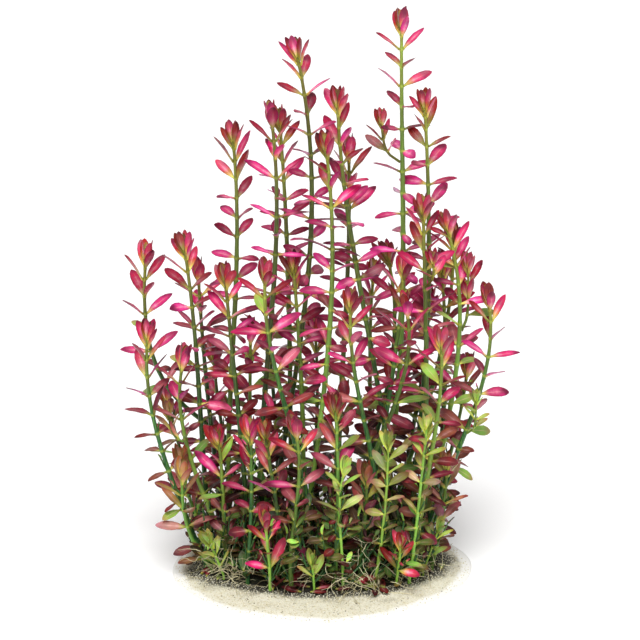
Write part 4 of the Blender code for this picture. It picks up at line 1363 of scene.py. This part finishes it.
@functools.cache
def root_material():
    """Fine roots: cream and slightly clear when young, brown and dull when
    old."""
    settings = bpy.context.scene.clump_ground
    material, tree, shader = new_material("fine_roots")
    age, _, tint = parts_of(tree, "look")
    place = put(tree, "ShaderNodeTexCoord").outputs["Object"]
    dirt = put(tree, "ShaderNodeTexNoise", {"Vector": place, "Scale": 500.0, "Detail": 2.0})
    dirty = put(tree, "ShaderNodeMath", (dirt, 0.8, age), operation="MULTIPLY_ADD")
    shade = put(tree, "ShaderNodeValToRGB", (dirty,), stops=(
        (0.35, settings.root_pale),
        (1.0, settings.root_brown),
    ))
    value = put(tree, "ShaderNodeMapRange", (tint, 0.0, 1.0, 0.7, 1.1), **SMOOTH)
    varied = put(tree, "ShaderNodeHueSaturation", {"Value": value, "Color": shade})
    gloss = put(tree, "ShaderNodeMapRange", (dirt, 0.3, 0.7, 0.4, 0.65), **SMOOTH)
    feed(shader, {
        "Base Color": varied,
        "Roughness": gloss,
        "Subsurface Weight": 0.1,
        "Subsurface Radius": (1.0, 0.8, 0.5),
        "Subsurface Scale": 0.4 * MM,
    })
    return material


def finished_mesh(bm, name):
    mesh = bpy.data.meshes.new(name)
    bm.to_mesh(mesh)
    bm.free()
    return mesh


@functools.cache
def leaf_form():
    """One leaf as a closed blade. Its form attribute holds the share along, the
    share across times the outline, and the height in blade thicknesses."""
    bm = bmesh.new()
    form = bm.verts.layers.float_vector.new("form")
    place = bm.verts.layers.float_vector.new("place")

    def corner(u, v, height, face):
        half = max(full_outline(u), LEAF_STALK_SHARE if u < LEAF_WIDEST else 0.0)
        vertex = bm.verts.new((u, v * half, 0.02 * height))
        vertex[form] = (u, v * half, height)
        vertex[place] = (u, v, face)
        return vertex

    rows = []
    for u, thick in zip(LEAF_STATIONS[:-1], LEAF_THICKNESS):
        upper = [corner(u, v, thick * (abs(v) < 1), 1.0 * (abs(v) < 1)) for v in LEAF_UPPER_COLUMNS]
        lower = [corner(u, v, -thick * (RIB_DEPTH if v == 0 else 1.0), -1.0) for v in LEAF_LOWER_COLUMNS]
        rows.append((upper, [upper[0], *lower, upper[-1]]))
    tip = corner(1.0, 0.0, 0.0, 0.0)
    for (upper, lower), (next_upper, next_lower) in zip(rows, rows[1:]):
        for i in range(4):
            bm.faces.new((upper[i], next_upper[i], next_upper[i + 1], upper[i + 1]))
            bm.faces.new((lower[i + 1], next_lower[i + 1], next_lower[i], lower[i]))
    for i in range(4):
        bm.faces.new((rows[-1][0][i], tip, rows[-1][0][i + 1]))
        bm.faces.new((rows[-1][1][i + 1], tip, rows[-1][1][i]))
    first = rows[0]
    bm.faces.new((*first[0], *reversed(first[1][1:-1])))
    bmesh.ops.recalc_face_normals(bm, faces=bm.faces)
    rims = {rows[i][0][side] for i in range(len(rows)) for side in (0, -1)} | {tip}
    for edge in bm.edges:
        if edge.verts[0] in rims and edge.verts[1] in rims:
            edge.smooth = False
    mesh = finished_mesh(bm, "leaf_form")
    mesh.shade_smooth()
    return bpy.data.objects.new("leaf_form", mesh)


def new_tree(name, *inputs):
    """A Geometry Nodes tree with inputs from (name, kind, default) rows, and what they give."""
    tree = bpy.data.node_groups.new(name, "GeometryNodeTree")
    for title, kind, default in (("Geometry", "Geometry", None), *inputs):
        socket = tree.interface.new_socket(title, in_out="INPUT", socket_type=f"NodeSocket{kind}")
        if default is not None:
            socket.default_value = default
    tree.interface.new_socket("Geometry", in_out="OUTPUT", socket_type="NodeSocketGeometry")
    return tree, put(tree, "NodeGroupInput").outputs


def tubes(tree, geometry, sides, material):
    """Closed tubes round every line of a mesh, as thick as its thick attribute says."""
    curves = put(tree, "GeometryNodeMeshToCurve", (geometry,))
    circle = put(tree, "GeometryNodeCurvePrimitiveCircle", {"Resolution": sides, "Radius": 1.0})
    thick = put(tree, "GeometryNodeInputNamedAttribute", {"Name": "thick"}, data_type="FLOAT")
    tube = put(tree, "GeometryNodeCurveToMesh", {0: curves, 1: circle, 2: thick, "Fill Caps": True})
    return put(tree, "GeometryNodeSetMaterial", {0: tube, "Material": material})


def leaves_on_points(tree, points, form, thickness, ripple, material):
    """The leaf form at every point, laid out as the points' attributes say."""
    placed = put(tree, "GeometryNodeInstanceOnPoints", {"Points": points, "Instance": form})
    real = put(tree, "GeometryNodeRealizeInstances", (placed,))
    named = {}
    for name in ("form", "root", "along", "across", "measure", "shape"):
        attribute = put(tree, "GeometryNodeInputNamedAttribute", {"Name": name}, data_type="FLOAT_VECTOR")
        named[name] = attribute.outputs[0]
    u, y, height = put(tree, "ShaderNodeSeparateXYZ", (named["form"],)).outputs
    length, half_width, bend = put(tree, "ShaderNodeSeparateXYZ", (named["measure"],)).outputs
    skew, twist, wave = put(tree, "ShaderNodeSeparateXYZ", (named["shape"],)).outputs
    normal = put(tree, "ShaderNodeVectorMath", (named["along"], named["across"]), operation="CROSS_PRODUCT")
    ahead = put(tree, "ShaderNodeMath", (length, u), operation="MULTIPLY")
    square = put(tree, "ShaderNodeMath", (ahead, u), operation="MULTIPLY")
    wide = put(tree, "ShaderNodeMath", (half_width, y), operation="MULTIPLY")
    sideways = put(tree, "ShaderNodeMath", (skew, square, wide), operation="MULTIPLY_ADD")
    spread = put(tree, "ShaderNodeMath", (wide,), operation="ABSOLUTE")
    phase = put(tree, "ShaderNodeMath", (u, 13.0, wave), operation="MULTIPLY_ADD")
    waves = put(tree, "ShaderNodeMath", (phase,), operation="SINE")
    rippled = put(tree, "ShaderNodeMath", (waves, ripple, LEAF_FOLD), operation="MULTIPLY_ADD")
    folded = put(tree, "ShaderNodeMath", (rippled, spread), operation="MULTIPLY")
    drooped = put(tree, "ShaderNodeMath", (bend, square), operation="MULTIPLY")
    lift = put(tree, "ShaderNodeMath", (folded, drooped), operation="SUBTRACT")
    turned = put(tree, "ShaderNodeMath", (twist, u), operation="MULTIPLY")
    lift = put(tree, "ShaderNodeMath", (turned, wide, lift), operation="MULTIPLY_ADD")
    lift = put(tree, "ShaderNodeMath", (height, thickness, lift), operation="MULTIPLY_ADD")
    place = named["root"]
    for way, amount in ((named["along"], ahead), (named["across"], sideways), (normal.outputs[0], lift)):
        scaled = put(tree, "ShaderNodeVectorMath", {0: way, "Scale": amount}, operation="SCALE")
        place = put(tree, "ShaderNodeVectorMath", (place, scaled), operation="ADD").outputs[0]
    laid = put(tree, "GeometryNodeSetPosition", {0: real, "Position": place})
    return put(tree, "GeometryNodeSetMaterial", {0: laid, "Material": material})


@functools.cache
def shoot_tree():
    """Geometry Nodes that turn a shoot's lines into stems and its points into leaves."""
    tree, given = new_tree(
        "shoot",
        ("Leaf form", "Object", None),
        ("Leaf material", "Material", None),
        ("Stem material", "Material", None),
        ("Stem sides", "Int", 8),
        ("Blade thickness", "Float", 0.16 * MM),
        ("Ripple", "Float", 0.05),
    )
    is_leaf = put(tree, "GeometryNodeInputNamedAttribute", {"Name": "is_leaf"}, data_type="BOOLEAN")
    split = put(tree, "GeometryNodeSeparateGeometry", (given["Geometry"], is_leaf))
    form = put(tree, "GeometryNodeObjectInfo", (given["Leaf form"],))
    leaves = leaves_on_points(
        tree,
        split.outputs[0],
        form.outputs["Geometry"],
        given["Blade thickness"],
        given["Ripple"],
        given["Leaf material"],
    )
    stems = tubes(tree, split.outputs[1], given["Stem sides"], given["Stem material"])
    joined = put(tree, "GeometryNodeJoinGeometry", (leaves,))
    tree.links.new(stems.outputs[0], joined.inputs[0])
    smooth = put(tree, "GeometryNodeSetShadeSmooth", (joined,))
    put(tree, "NodeGroupOutput", (smooth,))
    return tree


@functools.cache
def roots_tree():
    """Geometry Nodes that turn lines into fine roots."""
    tree, given = new_tree(
        "roots",
        ("Root material", "Material", None),
        ("Root sides", "Int", ROOT_SIDES),
    )
    roots = tubes(tree, given["Geometry"], given["Root sides"], given["Root material"])
    smooth = put(tree, "GeometryNodeSetShadeSmooth", (roots,))
    put(tree, "NodeGroupOutput", (smooth,))
    return tree


@functools.cache
def grains_tree():
    """Geometry Nodes that scatter loose grains over a surface."""
    tree, given = new_tree(
        "grains",
        ("Grain radius", "Float", 0.4 * MM),
        ("Density", "Float", 500000.0),
        ("Seed", "Int", SCATTER_SEED),
        ("Grain material", "Material", None),
    )
    cover = put(tree, "GeometryNodeInputNamedAttribute", {"Name": "density"}, data_type="FLOAT")
    density = put(tree, "ShaderNodeMath", (given["Density"], cover), operation="MULTIPLY")
    scatter = {"Mesh": given["Geometry"], "Density": density, "Seed": given["Seed"]}
    points = put(tree, "GeometryNodeDistributePointsOnFaces", scatter)
    ball = put(tree, "GeometryNodeMeshIcoSphere", {"Radius": 1.0, "Subdivisions": 1})
    spin = {0: (0.0, 0.0, 0.0), 1: (6.3, 6.3, 6.3), "Seed": 1}
    turn = put(tree, "FunctionNodeRandomValue", spin, data_type="FLOAT_VECTOR")
    form = {0: (0.6, 0.6, 0.5), 1: (1.4, 1.3, 1.0), "Seed": 2}
    squash = put(tree, "FunctionNodeRandomValue", form, data_type="FLOAT_VECTOR")
    scale = put(tree, "ShaderNodeVectorMath", {0: squash, "Scale": given["Grain radius"]}, operation="SCALE")
    pick = put(tree, "FunctionNodeRandomValue", {2: 0.0, 3: 1.0, "Seed": 3}, data_type="FLOAT")
    keep = {0: points, "Name": "grain_pick", "Value": pick.outputs[1]}
    marked = put(tree, "GeometryNodeStoreNamedAttribute", keep, data_type="FLOAT", domain="POINT")
    settle = {"Points": marked, "Instance": ball, "Rotation": turn, "Scale": scale}
    placed = put(tree, "GeometryNodeInstanceOnPoints", settle)
    real = put(tree, "GeometryNodeRealizeInstances", (placed,))
    coloured = put(tree, "GeometryNodeSetMaterial", {0: real, "Material": given["Grain material"]})
    put(tree, "NodeGroupOutput", (coloured,))
    return tree


def run_tree(piece, tree, values):
    """The piece with the tree's result as its own plain mesh."""
    modifier = piece.modifiers.new(tree.name, "NODES")
    modifier.node_group = tree
    identifiers = {item.name: item.identifier for item in tree.interface.items_tree if item.in_out == "INPUT"}
    for name, value in values.items():
        modifier[identifiers[name]] = value
    graph = bpy.context.evaluated_depsgraph_get()
    done = piece.evaluated_get(graph)
    made = bpy.data.meshes.new_from_object(done, preserve_all_data_layers=True, depsgraph=graph)
    piece.modifiers.remove(modifier)
    plain = piece.data
    piece.data = made
    bpy.data.meshes.remove(plain)
    made.name = piece.name
    for name in ("is_leaf", "thick", "form", "root", "along", "across", "measure", "shape", "density"):
        if name in made.attributes:
            made.attributes.remove(made.attributes[name])
    return piece


def write_attribute(mesh, name, kind, values):
    """One value for each point of a mesh."""
    attribute = mesh.attributes.new(name, kind, "POINT")
    if kind == "FLOAT_VECTOR":
        attribute.data.foreach_set("vector", [x for value in values for x in value])
    else:
        attribute.data.foreach_set("value", values)


def seed_mesh(name, lines, leaves):
    """Lines and leaf points as one mesh of edges and loose points, with their attributes."""
    places, edges, thick, marks, looks = [], [], [], [], []
    for line in lines:
        start = len(places)
        places += [p * MM for p in line.points]
        edges += [(start + i, start + i + 1) for i in range(len(line.points) - 1)]
        thick += [radius * MM for radius in line.radii]
        marks += [Vector((mark, 0, 0)) for mark in line.marks]
        looks += line.looks
    on_lines = len(places)
    blades = [leaf.blade for leaf in leaves]
    places += [blade.root * MM for blade in blades]
    looks += [leaf.look for leaf in leaves]
    nothing = [Vector()] * on_lines
    mesh = bpy.data.meshes.new(name)
    mesh.from_pydata(places, edges, [])
    write_attribute(mesh, "is_leaf", "BOOLEAN", [False] * on_lines + [True] * len(blades))
    write_attribute(mesh, "thick", "FLOAT", thick + [0.0] * len(blades))
    write_attribute(mesh, "look", "FLOAT_VECTOR", looks)
    write_attribute(mesh, "place", "FLOAT_VECTOR", marks + [Vector()] * len(blades))
    write_attribute(mesh, "root", "FLOAT_VECTOR", places)
    write_attribute(mesh, "along", "FLOAT_VECTOR", nothing + [blade.along for blade in blades])
    write_attribute(mesh, "across", "FLOAT_VECTOR", nothing + [blade.side for blade in blades])
    measures = [Vector((b.length * MM, b.half_width * MM, b.bend)) for b in blades]
    write_attribute(mesh, "measure", "FLOAT_VECTOR", nothing + measures)
    chance = random.Random(f"{name} shapes")
    shapes = [Vector((b.skew, chance.uniform(-0.45, 0.45), chance.uniform(0, 6.28))) for b in blades]
    write_attribute(mesh, "shape", "FLOAT_VECTOR", nothing + shapes)
    return mesh


def new_piece(name, mesh):
    piece = bpy.data.objects.new(name, mesh)
    bpy.context.scene.collection.objects.link(piece)
    return piece


def make_spray(name, lines, leaves):
    """A piece of stems and leaves."""
    scene = bpy.context.scene
    piece = new_piece(name, seed_mesh(name, lines, leaves))
    return run_tree(piece, shoot_tree(), {
        "Leaf form": leaf_form(),
        "Leaf material": leaf_material(),
        "Stem material": stem_material(),
        "Stem sides": scene.clump_stems.sides,
        "Blade thickness": scene.clump_leaves.thickness,
        "Ripple": scene.clump_leaves.ripple,
    })


def make_shoots(kind):
    """Every shoot of one kind, each in place of its solid."""
    for name, (lines, leaves) in grown_clump().items():
        if name.startswith(kind):
            piece = make_spray(f"{name}_leaves", lines, leaves)
            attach(piece, "root")
            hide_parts(name)


def ring_row(bm, reach_at, height, sectors):
    """A closed row of vertices round the middle, as far out and as high as two rules say."""
    row = []
    for sector in range(sectors):
        angle = 2 * math.pi * sector / sectors
        reach = reach_at(angle)
        x, y = reach * math.cos(angle), reach * math.sin(angle)
        row.append(bm.verts.new((x * MM, y * MM, height(x, y) * MM)))
    return row


def layer_mesh(name, rim, top, bottom, rings, sectors):
    """A closed round layer as a mesh: rings of vertices out to the rim, above and below."""
    bm = bmesh.new()
    outer = []
    for height, upward in ((top, True), (bottom, False)):
        centre = bm.verts.new((0, 0, height(0, 0) * MM))
        before = None
        for ring in range(1, rings + 1):
            row = ring_row(bm, lambda angle: rim(angle) * ring / rings, height, sectors)
            for i in range(sectors):
                j = (i + 1) % sectors
                face = (before[i], row[i], row[j], before[j]) if before else (centre, row[i], row[j])
                bm.faces.new(face if upward else face[::-1])
            before = row
        outer.append(before)
    over, under = outer
    for i in range(sectors):
        j = (i + 1) % sectors
        bm.faces.new((under[i], under[j], over[j], over[i]))
    mesh = finished_mesh(bm, name)
    mesh.shade_smooth()
    return mesh


def fine_noise(x, y, grain, seed):
    """Noise from -1 to 1 with lumps of a size in millimetres."""
    return noise.noise(Vector((x / grain, y / grain, seed)))


def sand_surface(x, y):
    lumps = 0.35 * fine_noise(x, y, 9.0, 1.0) + 0.14 * fine_noise(x, y, 2.2, 2.0)
    near_rim = 1 - smooth_share(share_of_rim(x, y, sand_rim), 0.86, 1.0)
    return SAND_FOOT + (sand_height(x, y) - SAND_FOOT) * near_rim + lumps * near_rim


def ragged_rim(angle):
    """The rim of the felt, which is torn and lies within the mat's."""
    torn = 0.5 + 0.5 * fine_noise(9 * math.cos(angle), 9 * math.sin(angle), 1.0, 6.0)
    return mat_rim(angle) * (1.0 - 0.13 * torn)


def mat_surface(x, y):
    lumps = 1.1 * fine_noise(x, y, 7.0, 3.0) + 0.7 * fine_noise(x, y, 2.6, 4.0)
    lumps += 0.35 * fine_noise(x, y, 1.1, 5.0)
    inside = 1 - smooth_share(share_of_rim(x, y, ragged_rim), 0.8, 1.0)
    edge = sand_height(x, y) - 0.3
    return edge + (mat_height(x, y) - edge) * inside + lumps * (0.25 + 0.75 * inside)


def flat(x, y):
    return 0.0


def buried(x, y):
    return sand_height(x, y) - BURIED_DEPTH


def make_sand():
    mesh = layer_mesh("sand", sand_rim, sand_surface, flat, *SAND_MESH)
    cover = []
    for vertex in mesh.vertices:
        x, y = vertex.co.x / MM, vertex.co.y / MM
        out = share_of_rim(x, y, mat_rim)
        # Soil and painted shadow: strongest at the mat's rim, fading out over the front of the sand
        soil_and_shadow = 1 - 0.68 * smooth_share(out, 0.93, 1.1) - 0.32 * smooth_share(out, 1.1, 1.42)
        cover.append(Vector((soil_and_shadow, smooth_share(share_of_rim(x, y, sand_rim), 0.86, 1.0), 0)))
    write_attribute(mesh, "cover", "FLOAT_VECTOR", cover)
    mesh.materials.append(sand_material())
    piece = new_piece("sand", mesh)
    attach(piece, "root")
    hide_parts("sand_patch")


def scatter_cover(x, y):
    """How many loose grains lie at a place: more near the roots and few past the rim."""
    share = share_of_rim(x, y, sand_rim)
    patches = 0.55 + 0.45 * fine_noise(x, y, 12.0, 8.0)
    on_patches = max(0.0, patches) * (1 - smooth_share(share, 0.82, 1.0))
    return on_patches + 0.25 * (1 - smooth_share(share, 0.97, 1.0))


def make_grains():
    """Loose grains on the sand that the roots leave free."""
    settings = bpy.context.scene.clump_ground
    bm = bmesh.new()
    rings, sectors = GRAIN_MESH
    rows = []
    for ring in range(rings + 1):

        def reach_at(angle):
            inner = GRAINS_FROM * mat_rim(angle)
            return inner + (sand_rim(angle) - GRAINS_RIM_GAP - inner) * ring / rings

        rows.append(ring_row(bm, reach_at, lambda x, y: sand_surface(x, y) + GRAINS_OVER_SAND, sectors))
    for before, after in zip(rows, rows[1:]):
        for i in range(sectors):
            j = (i + 1) % sectors
            bm.faces.new((before[i], after[i], after[j], before[j]))
    mesh = finished_mesh(bm, "sand_grains")
    cover = [scatter_cover(v.co.x / MM, v.co.y / MM) for v in mesh.vertices]
    write_attribute(mesh, "density", "FLOAT", cover)
    piece = run_tree(new_piece("sand_grains", mesh), grains_tree(), {
        "Grain radius": settings.grain,
        "Density": settings.grain_density,
        "Seed": SCATTER_SEED,
        "Grain material": grain_material(),
    })
    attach(piece, "root")


def make_mat():
    mesh = layer_mesh("root_mat_felt", ragged_rim, mat_surface, buried, *MAT_MESH)
    mesh.materials.append(mat_material())
    piece = new_piece("root_mat_felt", mesh)
    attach(piece, "root")
    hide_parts("root_mat")


def wandering_root(start, way, kind, chance):
    """A fine root that wanders from a point and sinks towards the ground."""
    thickness = chance.uniform(*kind.thickness)
    length = chance.uniform(*kind.length)
    age = chance.uniform(*kind.age)
    points = [start.copy()]
    heading = way.normalized()
    count = max(3, round(length / ROOT_STEP))
    for _ in range(count):
        shake = Vector([chance.uniform(-1, 1) for _ in range(3)])
        heading = (heading + shake * ROOT_SHAKE + Vector((0, 0, -kind.sink))).normalized()
        point = points[-1] + heading * ROOT_STEP
        floor = ground_height(point.x, point.y) + 0.2
        if point.z < floor:
            point.z = floor
            heading.z = abs(heading.z) * 0.3
        points.append(point)
    radii = [thickness * (1 - ROOT_TAPER * i / count) for i in range(count + 1)]
    look = Vector((age, 0, chance.random()))
    return Line(points, radii, [0.0] * (count + 1), [look] * (count + 1))


def grow_roots():
    """Roots from the foot of every shoot, and the loose tangles between."""
    lines = []
    for row in SHOOTS:
        chance = random.Random(f"{row.name} roots")
        ground = ground_height(*row.foot)
        for _ in range(ROOTS_PER_FOOT):
            angle = chance.uniform(0, 2 * math.pi)
            start = Vector((*row.foot, ground + chance.uniform(1, 9)))
            way = Vector((math.cos(angle), math.sin(angle), chance.uniform(-0.4, 0.3)))
            lines.append(wandering_root(start, way, FOOT_ROOT, chance))
    for number, tangle in enumerate(TANGLES):
        chance = random.Random(f"tangle {number}")
        for _ in range(tangle.count):
            x = tangle.x + chance.gauss(0, tangle.spread / 2)
            y = tangle.y + chance.gauss(0, tangle.spread / 2)
            start = Vector((x, y, ground_height(x, y) + chance.uniform(0.5, tangle.height)))
            way = Vector((chance.uniform(-1, 1), chance.uniform(-1, 1), chance.uniform(-0.2, 0.5)))
            lines.append(wandering_root(start, way, TANGLE_ROOT, chance))
    return lines


def make_roots():
    mesh = seed_mesh("loose_roots", grow_roots(), [])
    piece = run_tree(new_piece("loose_roots", mesh), roots_tree(), {
        "Root material": root_material(),
        "Root sides": ROOT_SIDES,
    })
    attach(piece, "root")


def make_fallen_leaves():
    """Old leaves that have dropped between the feet."""
    chance = random.Random("fallen leaves")
    leaves = []
    while len(leaves) < FALLEN_LEAVES:
        angle = chance.uniform(0, 2 * math.pi)
        reach = mat_rim(angle) * math.sqrt(chance.uniform(0.05, 1.0)) * 0.98
        x, y = reach * math.cos(angle), reach * math.sin(angle)
        root = Vector((x, y, mat_surface(x, y) + chance.uniform(*FALLEN_HEIGHT)))
        yaw = chance.uniform(0, 2 * math.pi)
        along = Vector((math.cos(yaw), math.sin(yaw), chance.uniform(-0.1, 0.35))).normalized()
        tilted = Vector((chance.uniform(-0.4, 0.4), chance.uniform(-0.4, 0.4), 1)).normalized()
        blade = free_blade(root, along, tilted, chance.uniform(*FALLEN_LEAF), FALLEN_WIDTH, chance)
        # The tint is halved as painted shade between the feet
        look = Vector((chance.uniform(0.7, 1.0), chance.choice((0, 0, 0, 0.5, 0.8)), chance.random() * 0.5))
        leaves.append(Dressed(blade, look))
    piece = make_spray("fallen_leaves", [], leaves)
    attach(piece, "root")


@functools.cache
def paper_material():
    """Matt white paper, lit a little from below: nearly white, with a faint tooth."""
    material, tree, shader = new_material("matt_white_paper")
    place = put(tree, "ShaderNodeTexCoord").outputs["Object"]
    tooth = put(tree, "ShaderNodeTexNoise", {"Vector": place, "Scale": 900.0})
    rough = put(tree, "ShaderNodeMapRange", (tooth, 0.3, 0.7, 0.9, 1.0), **SMOOTH)
    feed(shader, {
        "Roughness": rough,
        "Base Color": bpy.context.scene.clump_stage.floor,
        "Emission Color": WHITE,
        "Emission Strength": 0.12,
    })
    return material


def even_light(sky):
    """White walls all round, and a softer light from above them."""
    world = bpy.data.worlds.new("even_light")
    world.use_nodes = True
    tree = world.node_tree
    around = put(tree, "ShaderNodeTexCoord").outputs["Generated"]
    way = put(tree, "ShaderNodeSeparateXYZ", (around,))
    strength = put(tree, "ShaderNodeMapRange", (way.outputs["Z"], 0.0, 0.3, 1.0, sky), **SMOOTH)
    feed(tree.nodes["Background"], (WHITE, strength))
    return world


def key_light(strength):
    sun = bpy.data.lights.new("key", "SUN")
    sun.energy = strength
    sun.angle = math.radians(KEY_SPREAD)
    body = new_piece("key", sun)
    body.rotation_euler = Vector(KEY_WAY).to_track_quat("-Z", "Y").to_euler()


def front_camera():
    data = bpy.data.cameras.new("camera")
    data.sensor_width = CAMERA_SENSOR
    data.lens = CAMERA_LENS
    camera = new_piece("camera", data)
    camera.location = CAMERA_PLACE
    camera.rotation_euler = (math.radians(90 - CAMERA_DIP), 0, 0)
    return camera


def make_stage():
    """The pale floor, the soft light and the camera."""
    scene = bpy.context.scene
    bm = bmesh.new()
    bmesh.ops.create_grid(bm, x_segments=8, y_segments=8, size=FLOOR_HALF_SIZE)
    floor = new_piece("floor", finished_mesh(bm, "floor"))
    floor.data.materials.append(paper_material())
    scene.world = even_light(scene.clump_stage.sky)
    key_light(scene.clump_stage.key)
    scene.camera = front_camera()
    scene.view_settings.view_transform = "Standard"


class ClumpOperator:
    """What every operator here shares"""

    bl_options = {"REGISTER", "UNDO"}

    def execute(self, context):
        self.make()
        return {"FINISHED"}


class CLUMP_OT_stage(ClumpOperator, bpy.types.Operator):
    """Make the floor, the light and the camera"""

    bl_idname = "clump.stage"
    bl_label = "Stage"
    make = staticmethod(make_stage)


class CLUMP_OT_sand(ClumpOperator, bpy.types.Operator):
    """Make the patch of sand"""

    bl_idname = "clump.sand"
    bl_label = "Sand"
    make = staticmethod(make_sand)


class CLUMP_OT_grains(ClumpOperator, bpy.types.Operator):
    """Scatter loose grains on the sand"""

    bl_idname = "clump.grains"
    bl_label = "Loose grains"
    make = staticmethod(make_grains)


class CLUMP_OT_mat(ClumpOperator, bpy.types.Operator):
    """Make the felt of old roots between the feet"""

    bl_idname = "clump.mat"
    bl_label = "Root mat"
    make = staticmethod(make_mat)


class CLUMP_OT_roots(ClumpOperator, bpy.types.Operator):
    """Grow the loose fine roots"""

    bl_idname = "clump.roots"
    bl_label = "Loose roots"
    make = staticmethod(make_roots)


class CLUMP_OT_fallen_leaves(ClumpOperator, bpy.types.Operator):
    """Drop old leaves between the feet"""

    bl_idname = "clump.fallen_leaves"
    bl_label = "Fallen leaves"
    make = staticmethod(make_fallen_leaves)


class CLUMP_OT_tall_shoots(ClumpOperator, bpy.types.Operator):
    """Grow the tall shoots"""

    bl_idname = "clump.tall_shoots"
    bl_label = "Tall shoots"
    make = staticmethod(functools.partial(make_shoots, "tall_shoot"))


class CLUMP_OT_middle_shoots(ClumpOperator, bpy.types.Operator):
    """Grow the middle shoots"""

    bl_idname = "clump.middle_shoots"
    bl_label = "Middle shoots"
    make = staticmethod(functools.partial(make_shoots, "middle_shoot"))


class CLUMP_OT_low_shoots(ClumpOperator, bpy.types.Operator):
    """Grow the low shoots at the front and the sides"""

    bl_idname = "clump.low_shoots"
    bl_label = "Low shoots"
    make = staticmethod(functools.partial(make_shoots, "low_shoot"))


class CLUMP_OT_back_shoots(ClumpOperator, bpy.types.Operator):
    """Grow the shoots at the back"""

    bl_idname = "clump.back_shoots"
    bl_label = "Back shoots"
    make = staticmethod(functools.partial(make_shoots, "back_shoot"))


class CLUMP_OT_side_shoots(ClumpOperator, bpy.types.Operator):
    """Grow the side shoots that branch from a stem"""

    bl_idname = "clump.side_shoots"
    bl_label = "Side shoots"
    make = staticmethod(functools.partial(make_shoots, "side_shoot"))


OPERATORS = (
    CLUMP_OT_stage,
    CLUMP_OT_sand,
    CLUMP_OT_grains,
    CLUMP_OT_mat,
    CLUMP_OT_roots,
    CLUMP_OT_fallen_leaves,
    CLUMP_OT_tall_shoots,
    CLUMP_OT_middle_shoots,
    CLUMP_OT_low_shoots,
    CLUMP_OT_back_shoots,
    CLUMP_OT_side_shoots,
)
SETTINGS = {
    "clump_leaves": LeafSettings,
    "clump_stems": StemSettings,
    "clump_ground": GroundSettings,
    "clump_stage": StageSettings,
}


class CLUMP_PT_panel(bpy.types.Panel):
    """The clump's settings and what makes each piece"""

    bl_idname = "CLUMP_PT_panel"
    bl_label = "Red stem plant clump"
    bl_space_type = "VIEW_3D"
    bl_region_type = "UI"
    bl_category = "Clump"

    def draw(self, context):
        for name, group in SETTINGS.items():
            box = self.layout.box()
            for key in group.__annotations__:
                box.prop(getattr(context.scene, name), key)
        for operator in OPERATORS:
            self.layout.operator(operator.bl_idname)


CLASSES = (*SETTINGS.values(), *OPERATORS, CLUMP_PT_panel)


def register():
    for each in CLASSES:
        bpy.utils.register_class(each)
    for name, group in SETTINGS.items():
        setattr(bpy.types.Scene, name, PointerProperty(type=group))


def unregister():
    for name in SETTINGS:
        delattr(bpy.types.Scene, name)
    for each in reversed(CLASSES):
        bpy.utils.unregister_class(each)


def main():
    register()
    for operator in OPERATORS:
        getattr(bpy.ops.clump, operator.bl_idname.split(".")[1])()


if __name__ == "__main__":
    main()
